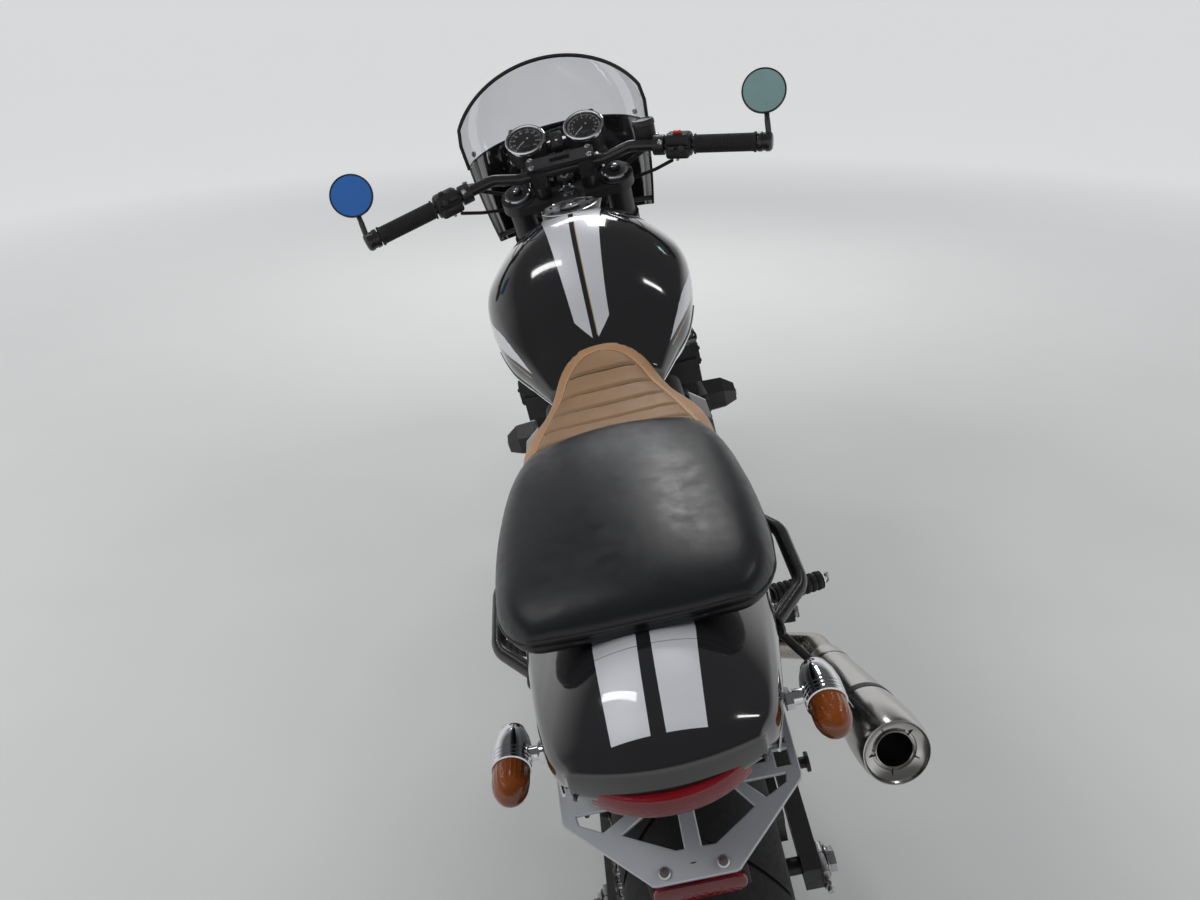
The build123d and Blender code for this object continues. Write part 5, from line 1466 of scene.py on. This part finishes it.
def make_gauges():
    """Two dials with ticks, figures and needles, and the row of small lamps between them."""
    body, glass = Shape(), Shape()
    middle = at(0, 452, 1094, rx=32)
    for side, numbers, needle in ((-1, range(0, 181, 20), 2.0), (1, range(0, 13, 1), 0.0)):
        place = middle @ at(side * 61)
        body.turned([(0.1, -60), (21, -59), (24, -54), (36, -45), (39.6, -42), (41, -36), (41, -6),
            (39.5, -5)], 64, place)
        body.turned([(39.5, -7), (41.6, -5.6), (42.2, -2.6), (41.8, 0.8), (40, 2.8), (37.8, 3), (36.4, 1.2),
            (36, -3)], 64, place, 1, ends=False)
        body.turned([(36.4, -3.4), (35.6, -3.1), (0.1, -3.1)], 64, place, 2)
        numbers = list(numbers)
        fine = (len(numbers) - 1) * 5
        for k in range(fine + 1):
            a = radians(DIAL_FROM - DIAL_SWEEP * k / fine)
            major = k % 5 == 0
            long = 4.6 if major else 2.4
            spot_r = TICK_END - long / 2
            body.add(block(long, 1.0 if major else 0.5, 0.3),
                place @ at(spot_r * cos(a), spot_r * sin(a), DIAL_TOP) @ at(rz=degrees(a)), 3)
        for k, number in enumerate(numbers):
            a = radians(DIAL_FROM - DIAL_SWEEP * k / (len(numbers) - 1))
            body.add(figures(str(number), 5.6 if len(numbers) < 11 else 6.2),
                place @ at(FIGURE_R * cos(a), FIGURE_R * sin(a), DIAL_TOP), 3)
        pointer = prism([(-8, -1.2), (28, -0.35), (28, 0.35), (-8, 1.2)], 0.8)
        body.add(pointer, place @ at(0, 0, -1.4) @ at(rz=DIAL_FROM - needle), 4)
        body.turned([(4.4, -3), (4.4, -0.6), (3.4, 0.2), (0.1, 0.3)], 24, place, 0)
        body.add(block(17, 7, 0.5, 0.2), place @ at(0, -17, DIAL_TOP), 0)
        body.add(block(15, 5.4, 0.4), place @ at(0, -17, -2.6), 5)
        glass.turned([(36.2, 0.4), (30, 1.2), (16, 2.0), (0.1, 2.3), (0.1, 1.5), (16, 1.2), (30, 0.4),
            (36.2, -0.4)], 64, place, ends=False)
    body.add(block(122, 26, 8, 2), middle @ at(z=-36))
    body.add(tube([(0, 470, 1062), (0, 434, 1028), (0, 400, 996)], 8, 16))
    body.add(block(26, 46, 12, 3), middle @ at(0, 2, -24))
    for k in range(4):
        body.turned([(2.6, 0), (2.6, 1), (1.8, 1.8), (0.1, 2)], 16, middle @ at(0, -13 + 10 * k, -18),
            (5, 3, 5, 5)[k])
    build("instruments", body, "front_end", "plastic chrome dial_black print_white needle_white dial_grey",
        "black_plastic", "gauges", sharp=32)
    build("instrument_glass", glass, "front_end", "clear_glass", "lamp_glass", sharp=40)


def make_yoke_fittings():
    """Fork caps, stem nut, bar clamp bolts and the ignition lock."""
    shape = Shape()
    clamp_at = STEER.inverted() @ Vector((0, 372, 1036))
    for side in (-1, 1):
        place = STEER @ at(side * FORK_X, FORK_Y, 99)
        shape.turned([(26.2, -7.5), (27.4, -6.5), (27.4, -1), (26, 0.6), (22, 0.8)], 48, place, ends=False)
        shape.turned([(22.4, -0.5), (22, 2), (12, 2.6), (0.1, 2.6)], 48, place, 1)
        shape.add(hexagon(19, 6), place @ at(z=5.4), 2)
        shape.turned([(6, 8), (6, 9.4), (5, 10), (3, 10), (2.8, 8.6), (0.1, 8.6)], 20, place)
        for y in (-12, 12):
            shape.cap_screw(STEER @ at(side * 58, clamp_at.y + y, clamp_at.z + 25.4), 5.6, 4.5)
    shape.turned([(18.4, 0), (20, 1), (20, 3), (18, 4)], 40, STEER @ at(z=91))
    shape.add(hexagon(30, 9, 1.2), STEER @ at(z=103))
    shape.turned([(8, 0), (8, 2), (6.6, 3), (0.1, 3)], 24, STEER @ at(z=107.4), 1)
    lock = STEER @ at(0, 52, 91)
    shape.turned([(16, -10), (17, -8), (17, 9), (15, 11), (9, 11.4)], 36, lock, 1)
    shape.turned([(9, 10.6), (8.6, 12.4), (0.1, 12.4)], 28, lock)
    shape.add(block(1.6, 8, 0.6), lock @ at(z=12.6), 1)
    build("yoke_fittings", shape, "front_end", "chrome satin_black black_zinc", "silver_alloy", sharp=32)


# Lamp and screen

LAMP_AT = (0, 590, 962)


def make_lamp():
    place = aim(LAMP_AT, (0, 1, 0))
    bowl = [(45, -84), (54, -80), (76, -48), (83, -34), (84, -24), (84, 22), (82, 24)]
    shape = Shape().turned(bowl, 72, place)
    shape.turned([(80, 20), (84.6, 21), (86, 26), (85.4, 32), (82, 35), (78, 34.6), (77, 31), (79, 22)], 72,
        place, 1, loop=True)
    dish = [(77, 30)] + [(12 + 65 * t, -14 + 44 * t ** 2) for t in (0.85, 0.7, 0.5, 0.3, 0.1, 0.0)]
    shape.turned(dish, 72, place, 1, ends=False)
    shape.turned([(12, -15), (10, 4), (8, 8), (0.1, 9)], 32, place, 1)
    build("lamp_bowl", shape, "front_end", "gloss_black chrome", "gloss_black", "headlamp", sharp=34)
    glass = [(77.4, 31)]
    for a in (1.18, 1.0, 0.8, 0.6, 0.4, 0.2):
        glass.append((77 * sin(a), 31 + 13 * (cos(a) - cos(1.2)) / (1 - cos(1.2))))
    glass.append((0.1, 44))
    back = [(r, h - 3) for r, h in reversed(glass)]
    build("lamp_glass", Shape().add(lathe(glass + back, 72, ends=False), place), "front_end", "clear_glass",
        "lamp_glass", sharp=40)


def make_screen_trim():
    shape = Shape()
    rim = arc((-186, 456, 1142), (0, 552, 1226), (186, 456, 1142), 40)
    left = [Vector((-190, 472, 1064)), Vector((-192, 463, 1110))]
    right = [Vector((190, 472, 1064)), Vector((192, 463, 1110))]
    line = left + rim + right[::-1]
    shape.add(tube(line, 3.6, 10))
    seam = arc((-191, 471, 1062), (0, 656, 1080), (191, 471, 1062), 40)
    shape.add(tube(seam, 2.6, 8))
    for x in (-150, -60, 60, 150):
        t = (x + 191) / 382
        spot_at = seam[int(t * 40)]
        out = Vector((spot_at.x * 0.6, spot_at.y - 420, 30)).normalized()
        shape.turned([(6, -1), (6, 1.6), (4.4, 3.4), (0.1, 4)], 24, aim(spot_at + Vector((0, 0, 12)), out), 1)
    build("screen_trim", shape, "front_end", "rubber zinc", "black_plastic", sharp=40)


make_grips()
make_switches()
make_levers()
make_mirrors()
make_gauges()
make_yoke_fittings()
make_lamp()
make_screen_trim()


# Forks, brakes and drive

# The axle lugs' height along the fork, the disc and chain planes, and the exhaust ports
LUG_Z = -677.34
FRONT_DISC_X, REAR_DISC_X, CHAIN_X = 64, 84, -109
PORTS_X = (-142, -52, 52, 142)


def make_forks():
    shape = Shape()
    for side in (-1, 1):
        leg = STEER @ at(side * FORK_X, FORK_Y)
        shape.turned([(25.4, 98.8), (26, 98), (26, -424), (27.6, -426), (27.6, -436), (25, -440),
            (20.7, -441)], 48, leg, ends=False)
        shape.turned([(20.5, -438), (20.5, LUG_Z + 82)], 48, leg, 1, ends=False)
        shape.turned([(20.6, LUG_Z + 86), (23, LUG_Z + 84), (24, LUG_Z + 78), (24, LUG_Z - 16),
            (22, LUG_Z - 18), (0.1, LUG_Z - 18)], 40, leg, 2)
        lug = leg @ at(z=LUG_Z, ry=90)
        shape.turned([(11.2, -21), (26, -21), (28, -19), (28, 19), (26, 21), (11.2, 21)], 48, lug, 2,
            loop=True)
        for z in (10, 26):
            shape.cap_screw(leg @ at(0, -24, LUG_Z + z - 36, rx=90), 4.6, 4.5, 3)
        for z in (-300, -60):
            shape.turned([(26, 0), (26.5, 0.4), (26.5, 2.6), (26, 3)], 48, leg @ at(z=z), ends=False)
    build("fork_tubes", shape, "front_end", "satin_black chrome cast_black black_zinc", "satin_black",
        "fork_legs", sharp=32)


def across(x, axle):
    """A place on a wheel's axis with z along it, towards the right."""
    return at(x, axle.y, axle.z, ry=90)


def ringed(count, radius, size, steps=10, start=0.0):
    return [circle(size, x, y, steps) for x, y in round_points(count, radius, start)]


HUB_BORE = 17


def brake(shape, place, outer, band, hub, windows):
    """A drilled brake ring on a carrier with windows, with studs round it and screws round its hub."""
    inner = outer - band
    holes = [circle(inner, steps=96)]
    for row, radius in enumerate((inner + 7, inner + band / 2, outer - 7)):
        holes += ringed(20, radius, 2.9, 8, row * 2 * pi / 60)
    shape.add(plate(circle(outer, steps=144), holes, 5, 0.5), place)
    carrier = [circle(HUB_BORE, steps=32)] + ringed(windows, 0.66 * inner, 0.17 * inner, 20)
    shape.add(plate(circle(inner + 1.5, steps=96), carrier, 6, 0.8), place, 1)
    stud = lathe([(2, -4), (6, -4), (6.6, -3.4), (6.6, 3.4), (6, 4), (2, 4)], 20, loop=True)
    for x, y in round_points(10, inner + 1, 0.2):
        shape.add(stud, place @ at(x, y), 2)
    shape.turned([(HUB_BORE, -hub), (30, -hub), (30, 0), (HUB_BORE, 0)], 40, place, 1, loop=True)
    for x, y in round_points(6, 25, 0.5):
        shape.cap_screw(place @ at(x, y, 2.6), 4, 3.6, 2)


def make_brakes():
    """Brake discs, the rear sprocket, and the fittings at the calipers and both axles."""
    front = Shape()
    for side in (1, -1):
        brake(front, sided(side) @ across(FRONT_DISC_X, FRONT_AXLE), 150, 32, 8, 6)
    build("front_brake_discs", front, "front_wheel", "front_disc cast_black zinc", "disc_steel",
          "front_discs", sharp=30)
    rear = Shape()
    brake(rear, across(REAR_DISC_X, REAR_AXLE), 122, 32, 12, 5)
    place = across(CHAIN_X, REAR_AXLE)
    root, tip, corners = 84.5, 88.5, 42 * 4
    teeth = []
    for k in range(corners):
        radius = (root, tip, tip, root)[k % 4]
        a = 2 * pi * (k + (0, 0.15, -0.15, 0)[k % 4]) / corners
        teeth.append((radius * cos(a), radius * sin(a)))
    rear.add(plate(teeth, [circle(HUB_BORE, steps=32)] + ringed(5, 58, 15, 20), 7, 0.6), place, 3)
    rear.turned([(HUB_BORE, 4), (40, 4), (40, 37), (HUB_BORE, 37)], 48, place, 1, loop=True)
    for x, y in round_points(5, 50, 0.63):
        rear.bolt(place @ at(x, y, 3.4), 11, 6, 2)
        rear.turned([(4.5, -4.2), (5, -3.7), (5, -3)], 20, place @ at(x, y), 2)
    build("rear_brake_and_sprocket", rear, "rear_wheel", "rear_disc cast_black zinc cast_alloy", "disc_steel",
        "rear_disc_and_sprocket", sharp=30)
    extra = Shape()
    for side in (-1, 1):
        flip = sided(side)
        place = flip @ STEER @ at(FRONT_DISC_X, -92.6, LUG_Z + 62, rx=28)
        for y, z in ((-16, -34), (-16, 34)):
            extra.cap_screw(place @ at(25, y, z, ry=90), 5.5, 4, 0)
        for z in (-16, 16):
            extra.turned([(17, 0), (17, 2.4), (15.5, 3.6), (11, 3.8), (10.6, 2), (0.1, 2)], 36,
                place @ at(24.8, -14, z * 1.25, ry=90), 1)
        extra.bolt(flip @ across(134, FRONT_AXLE), 22, 8)
    build("front_brake_fittings", extra, "front_end", "zinc cover_black", "silver_alloy", sharp=32)
    nuts = Shape()
    for side in (1, -1):
        nuts.bolt(sided(side) @ across(148, REAR_AXLE), 27, 10)
    for side in (-1, 1):
        nuts.add(block(9, 46, 34, 2), at(side * 142, -708, 317), 1)
        nuts.add(tube([(side * 142, -730, 317), (side * 142, -748, 317)], 3.6, 12))
        nuts.add(hexagon(11, 6), aim((side * 142, -739, 317), (0, -1, 0)))
    build("rear_axle_fittings", nuts, "chassis", "zinc cast_alloy", "silver_alloy", sharp=32)


def make_chain():
    front, rear = Vector((-148.0, 398.0)), Vector((REAR_AXLE.y, REAR_AXLE.z))
    front_r, rear_r, pitch = 40.0, 97.5, 15.9
    span = rear - front
    base = atan2(span.y, span.x)
    lead = asin((rear_r - front_r) / span.length)
    low, high = base + pi / 2 - lead, base - pi / 2 + lead
    line = []
    for middle, radius, first, swing, steps in (
            (front, front_r, high, low - high - 2 * pi, 48), (rear, rear_r, low, high - low, 96)):
        for k in range(steps + 1):
            a = first + swing * k / steps
            line.append((middle.x + radius * cos(a), middle.y + radius * sin(a)))
    line.append(line[0])
    run = np.concatenate(([0], np.cumsum([hypot(b[0] - a[0], b[1] - a[1]) for a, b in zip(line, line[1:])])))
    count = 2 * round(run[-1] / pitch / 2)
    spots = run[-1] * np.arange(count + 1) / count
    pins = [(np.interp(s, run, [p[0] for p in line]), np.interp(s, run, [p[1] for p in line])) for s in spots]
    half = run[-1] / count / 2
    side_outline = []
    for sign in (-1, 1):
        for a in range(-75, 76, 30):
            side_outline.append((sign * (half + 6.2 * cos(radians(a))), sign * 6.2 * sin(radians(a))))
    link = prism(side_outline, 1.9)
    shape = Shape()
    for i in range(count):
        (y0, z0), (y1, z1) = pins[i], pins[i + 1]
        slope = degrees(atan2(z1 - z0, y1 - y0))
        middle = at(CHAIN_X, (y0 + y1) / 2, (z0 + z1) / 2, rx=slope) @ at(ry=90) @ at(rz=90)
        away = 6.2 if i % 2 else 4.2
        for side in (-1, 1):
            shape.add(link, middle @ at(z=side * away))
        pin = at(CHAIN_X, y0, z0, ry=90)
        shape.turned([(5, -3.4), (5, 3.4)], 12, pin, 1)
        shape.turned([(2.4, -7.8), (2.4, 7.8)], 8, pin, 1)
    build("chain_links", shape, "chassis", "chain_steel zinc", "disc_steel", "drive_chain", sharp=40)


def make_shock():
    top, foot = Vector((0, -196, 640)), Vector((0, -330, 423))
    place = aim(top, foot - top)
    shape = Shape()
    for z in (4, 244):
        shape.turned([(6, -15), (13, -15), (14, -13), (14, 13), (13, 15), (6, 15)], 32,
            place @ at(z=z) @ at(ry=90), 1, loop=True)
    shape.turned([(10, 12), (15, 16), (15, 44), (20, 48), (26, 50), (26.6, 53), (26, 56), (20, 57), (20, 120),
        (8, 122)], 48, place)
    shape.turned([(20.4, 60), (26, 61), (26.4, 66), (20.4, 67)], 40, place, 1, loop=True)
    shape.turned([(7.5, 118), (7.5, 222)], 24, place, 2)
    shape.turned([(8, 206), (26.6, 208), (26.6, 213), (16, 218), (12, 234)], 48, place, 1)
    turns, steps = 7, 24
    ring = round_points(steps, 22.4)
    coil = [place @ Vector((*ring[k % steps], 72 + 131 * k / (turns * steps)))
        for k in range(turns * steps + 1)]
    shape.add(tube(coil, 4.5, 10), None, 3)
    build("shock_unit", shape, "chassis", "cast_black cast_alloy chrome spring_black", "satin_black",
        "rear_shock", sharp=34)


# Engine, radiator and exhaust fittings

def make_engine_details():
    """Cover bolts, caps, plugs with their leads, and camshaft plugs."""
    shape = Shape()

    def around(centre, way, radius, count, across_flats, start=0.0):
        place = aim(centre, way)
        for x, y in round_points(count, radius, start):
            shape.bolt(place @ at(x, y), across_flats, 5)

    around((197, 30, 384), (1, 0, 0), 84, 9, 9)
    around((177, 168, 372), (1, 0, 0), 54, 6, 8, 0.3)
    around((-193, 150, 372), (-1, 0, 0), 67, 8, 9)
    around((-143, -142, 398), (-1, 0, 0), 42, 5, 8)
    shape.turned([(60, 0), (60, 1.6), (57, 3), (44, 3), (42, 1.4), (0.1, 1.4)], 72,
        aim((205, 30, 384), (1, 0, 0)), 1)
    shape.turned([(16, 0), (16, 6), (14, 8), (6, 8.4), (0.1, 8.4)], 36, aim((200, 78, 436), (1, 0, 0)), 1)
    shape.add(block(4, 20, 5, 1.4), at(209, 78, 436), 1)
    shape.turned([(22, 0), (22, 2), (19, 3.4), (0.1, 3.6)], 48, aim((205, 30, 384), (1, 0, 0)))
    shape.turned([(20, 0), (20, 2), (17, 3.4), (0.1, 3.6)], 48, aim((-200, 150, 372), (-1, 0, 0)))
    top = at(0, 150, 500, rx=-12)
    for x in (-142, -60, 60, 142):
        for y in (-58, 58):
            shape.bolt(top @ at(x, y, 201), 10, 5)
    for x in (-105, -35, 35, 105):
        shape.turned([(13, 0), (13, 12), (10, 16), (8, 26), (0.1, 27)], 24, top @ at(x, 0, 200), 1)
        shape.add(tube(curve([top @ Vector((x, 0, 222)), top @ Vector((x, -22, 232)),
            top @ Vector((x * 0.8, -70, 226))], 6), 4, 10), None, 1)
    for side in (-1, 1):
        for y in (-38, 38):
            for away, up in round_points(3, 18, pi / 6):
                shape.turned([(3.6, 0), (3.6, 3), (0.1, 3.2)], 12,
                          top @ at(side * 177, y + away, 180 + up, ry=90 * side))
    build("engine_fittings", shape, "chassis", "black_zinc cover_black", "silver_alloy", sharp=32)


def make_radiator():
    shape = Shape()
    y, middle_z, tank_x = 372, 560, 178
    shape.add(block(326, 20, 222), at(0, y, middle_z), 1)
    for z in (-112, 112):
        shape.add(block(334, 26, 7, 2), at(0, y, middle_z + z))
    for side in (-1, 1):
        shape.add(block(25, 33, 238, 6, 3), at(side * tank_x, y, middle_z))
        shape.turned([(15, 0), (15, 20), (16.5, 21), (16.5, 26), (15, 27), (12, 27)], 32,
            aim((side * tank_x, 356, 640 if side > 0 else 478), (0, -1, 0)), ends=False)
    shape.turned([(20, 0), (20, 6), (17, 8), (15, 12), (0.1, 12)], 40, at(tank_x, y, 679), 2)
    shape.add(block(34, 9, 4, 1.6), at(tank_x, y, 692.5), 2)
    for side in (-1, 1):
        place = aim((side * 82, 360, 566), (0, -1, 0))
        shape.turned([(62, 0), (66, 1), (66, 12), (62, 13)], 56, place, loop=True)
        shape.turned([(0.1, 3), (17, 3), (18, 5), (18, 16), (15, 18), (0.1, 18)], 36, place)
        for k in range(5):
            blade = prism([(16, -7), (60, -13), (60, 9), (16, 7)], 1.6)
            shape.add(blade, place @ at(z=8, rz=72 * k) @ at(rx=24))
    build("radiator_unit", shape, "chassis", "plastic radiator_core zinc", "black_plastic", "radiator",
        sharp=34)


def make_exhaust_fittings():
    shape = Shape()
    for x in PORTS_X:
        place = aim((x, 262, 594), (0, 64, -36))
        shape.turned([(18.5, 0), (27, 0), (28, 2), (28, 9), (26, 11), (18.5, 11)], 40, place, loop=True)
        for side in (-1, 1):
            shape.bolt(place @ at(side * 34, 0, 10), 10, 6, 1)
            shape.add(block(16, 18, 8, 2), place @ at(side * 30, 0, 5))
    shape.turned([(24.6, -14), (27.4, -13), (27.4, 9), (26, 10), (24.6, 10)], 48, CAN, 1, loop=True)
    shape.add(block(10, 16, 14, 2), CAN @ at(0, -33, -2), 1)
    shape.bolt(CAN @ at(6, -34, -2, ry=90), 9, 5, 1)
    for x in (-66, 66):
        shape.add(block(4, 100, 34, 1.5), at(x * 1.34, 30, 188))
    build("exhaust_fittings", shape, "chassis", "cast_black zinc", "silver_alloy", sharp=32)


# Footrests and small fittings

def ribbed(shape, start, stop, radius, ribs, number=0):
    """A rubber sleeve with rings of ribs from one point to another."""
    run = Vector(stop) - Vector(start)
    pitch = run.length / ribs
    profile = [(radius - 1, 0), (radius + 1, 0.6)]
    for k in range(ribs):
        h = pitch * k
        profile += [(radius + 1.6, h + 0.12 * pitch), (radius + 1.6, h + 0.55 * pitch),
            (radius, h + 0.66 * pitch), (radius, h + 0.92 * pitch)]
    profile += [(radius + 1.2, run.length), (radius - 2, run.length + 1.4), (0.1, run.length + 1.6)]
    shape.turned(profile, 28, aim(start, run), number)


def make_foot_fittings():
    shape = Shape()
    for side in (-1, 1):
        flip = sided(side)
        for start, stop, ribs in (((186, -317, 443.7), (266, -296, 436), 8),
                ((180, -190, 344.1), (252, -190, 346), 7)):
            start, stop = flip @ Vector(start), flip @ Vector(stop)
            ribbed(shape, start, stop, 14, ribs)
        ribbed(shape, flip @ Vector((210, 44, 326)), flip @ Vector((243, 44, 326)), 9, 4)
        clip = [(266, -296, 430), (276, -294, 428), (279, -297, 436), (276, -300, 445)]
        shape.add(tube([flip @ p for p in curve(clip, 5)], 1.8, 8), None, 1)
        shape.turned([(0.1, -4.4), (2.6, -3.6), (4.4, 0), (2.6, 3.6), (0.1, 4.4)], 16,
            flip @ at(276, -300, 447), 1)
        knob = flip @ aim((157, -366, 448), (50, -4, -2))
        low, high = round_points(32, 13.8), round_points(32, 15.6)
        teeth = [(high if k % 2 else low)[k] for k in range(32)]
        shape.add(prism(teeth, 30, 0.8), knob @ at(z=29), 2)
        shape.turned([(9, 44), (11.5, 45), (11.5, 47), (9, 48)], 28, knob, 1)
        shape.add(hexagon(17, 8, 1.2), knob @ at(z=51.5), 1)
        for y, z in ((-154, 482), (-196, 482), (-150, 330), (-196, 330)):
            shape.bolt(flip @ aim((162, y, z), (1, 0, 0)), 11, 5, 1)
        for y, z in ((-300, 604), (-312, 440)):
            shape.bolt(flip @ aim((155.4, y, z), (1, 0, 0)), 11, 5, 1)
        shape.bolt(flip @ aim((152.6, -165, 655), (1, 0, 0)), 9, 3, 1, washer=False)
        shape.cap_screw(flip @ aim((238, 200, 556), (1, 0, 0)), 9, 3, 1)
    build("foot_fittings", shape, "chassis", "rubber zinc plastic", "rubber", sharp=34)


def make_rim_fittings():
    for name, body, axle, bead in (("front_valve", "front_wheel", FRONT_AXLE, 47),
            ("rear_valve", "rear_wheel", REAR_AXLE, 72)):
        shape = Shape()
        foot = Vector((12, axle.y, axle.z - 204))
        shape.turned([(4.6, 0), (4.6, 9), (3.2, 11), (3.2, 26), (3.8, 27), (3.8, 34), (0.1, 35)], 18,
            aim(foot, (0.3, 0, 1)))
        for side in (-1, 1):
            shape.turned([(225.4, 0), (225.9, 0.6), (225.9, 2.4), (225.4, 3)], 96,
                across(side * (bead + 2), axle) @ at(z=-1.5), 1, ends=False)
        build(name, shape, body, "rubber zinc", "rubber", sharp=34)


make_forks()
make_brakes()
make_chain()
make_shock()
make_engine_details()
make_radiator()
make_exhaust_fittings()
make_foot_fittings()
make_rim_fittings()


# CAD nodes that stay, by their finish

KEPT = {
    "frame_black": "main_frame subframe handlebar",
    "satin_black": "swingarm yokes lamp_stays side_stand pillion_pegs rider_footrests",
    "cast_black": "engine_case engine_top",
    "cover_black": "engine_covers front_calipers rear_caliper frame_sliders",
    "plastic": "intake",
    "header_steel": "exhaust_headers",
    "gloss_black": "front_mudguard cowl side_panels",
    "black_zinc": "front_axle rear_axle_and_pivot_bolt",
    "wheel_black": "front_rim rear_rim",
    "rubber": "control_cables",
    "smoked_glass": "windscreen",
}

for name, nodes in KEPT.items():
    for node in nodes.split():
        for slot in bpy.data.objects[node].material_slots:
            slot.material = finish[name]
settle()


# Camera, floor and light

def make_camera():
    camera = bpy.data.cameras.new("camera")
    camera.lens = 27.0
    camera.sensor_width = 36
    camera.clip_end = 200
    obj = linked("camera", camera)
    # Where it stands from the upright machine's origin; turned, tipped down from level and rolled, in degrees
    eye = Vector((-0.237, -1.460, 1.371)) + shift
    heading, dip, roll = -2.61, 28.45, -1.36
    obj.matrix_world = at(*eye, rx=90 - dip, rz=heading) @ at(rz=roll)
    bpy.context.scene.camera = obj


def seen_directly(nodes, links):
    """1 for rays that show the background: from the camera, off gloss and through glass."""
    path = nodes.new("ShaderNodeLightPath")
    found = path.outputs["Is Camera Ray"]
    for name in ("Is Glossy Ray", "Is Transmission Ray"):
        either = nodes.new("ShaderNodeMath")
        either.operation = "MAXIMUM"
        links.new(found, either.inputs[0])
        links.new(path.outputs[name], either.inputs[1])
        found = either.outputs[0]
    return found


def make_floor():
    """A pale ground that fades into the background further out."""
    recipe = Recipe("floor")
    cloud = recipe.noise(0.0013, 4)
    tone = recipe.mix(cloud, (0.6, 0.6, 0.59, 1), (0.66, 0.66, 0.65, 1))
    recipe.set(Base_Color=tone, Roughness=recipe.vary(recipe.noise(0.006, 3), 0.55, 0.7))
    away = recipe.add("ShaderNodeVectorMath")
    away.operation = "LENGTH"
    recipe.put(away.inputs[0], recipe.place)
    fade_from, fade_to = 1500, 6000
    far = recipe.span(away.outputs["Value"], fade_from, fade_to, 0.0, 0.5)
    recipe.set(Emission_Color=(1, 1, 1, 1))
    recipe.set(Emission_Strength=recipe.maths("MULTIPLY", far, seen_directly(recipe.nodes, recipe.links)))
    points = [(-60, -60, 0), (60, -60, 0), (60, 90, 0), (-60, 90, 0)]
    mesh = mesh_of("floor", points, [(0, 1, 2, 3)])
    mesh.materials.append(recipe.material)
    obj = linked("floor", mesh)


def make_light(name, place, target, wide, high, power, shows=True):
    """A lamp panel of that width and height, in metres and watts, turned to its target."""
    light = bpy.data.lights.new(name, "AREA")
    light.shape = "RECTANGLE"
    light.size = wide
    light.size_y = high
    light.energy = power
    obj = linked(name, light)
    way = Vector(target) - Vector(place)
    obj.visible_glossy = shows
    obj.matrix_world = Matrix.Translation(place) @ way.to_track_quat("-Z", "Y").to_matrix().to_4x4()


def make_world():
    """Dim light for surfaces; a pale sky, darker overhead, for the camera, gloss and glass."""
    world = bpy.data.worlds.new("world")
    bpy.context.scene.world = world
    world.use_nodes = True
    nodes, links = world.node_tree.nodes, world.node_tree.links
    dim = nodes["Background"]
    dim.inputs[0].default_value = (0.82, 0.85, 0.9, 1)
    dim.inputs[1].default_value = 0.34
    where = nodes.new("ShaderNodeTexCoord")
    parts = nodes.new("ShaderNodeSeparateXYZ")
    links.new(where.outputs["Generated"], parts.inputs[0])
    ramp = nodes.new("ShaderNodeValToRGB")
    links.new(parts.outputs[2], ramp.inputs[0])
    for element, (spot_at, level) in zip(ramp.color_ramp.elements, ((0.1, 0.72), (0.46, 0.1))):
        element.position = spot_at
        element.color = (level, level, level * 1.02, 1)
    seen = nodes.new("ShaderNodeBackground")
    links.new(ramp.outputs[0], seen.inputs[0])
    mix = nodes.new("ShaderNodeMixShader")
    links.new(seen_directly(nodes, links), mix.inputs[0])
    links.new(dim.outputs[0], mix.inputs[1])
    links.new(seen.outputs[0], mix.inputs[2])
    links.new(mix.outputs[0], nodes["World Output"].inputs[0])


make_camera()
make_floor()
make_world()
make_light("key", (-2.4, -1.0, 3.2), (0, 0, 0.5), 1.8, 1.4, 62, shows=False)
make_light("fill", (2.8, -1.4, 2.6), (0, 0, 0.5), 1.6, 1.4, 34, shows=False)
make_light("front", (0.4, 3.4, 2.2), (0, 0, 0.6), 2.6, 1.0, 40, shows=False)
make_light("overhead", (0.15, 3.0, 3.2), (0.05, -0.6, 0.83), 0.55, 1.3, 20)
make_light("right_lamp", (1.3, 0.1, 2.9), (0, 0.1, 0.8), 0.16, 0.5, 3)
make_light("left_lamp", (-1.3, 0.6, 2.7), (0, 0.1, 0.8), 0.14, 0.9, 4)
bpy.context.scene.view_settings.view_transform = "Standard"
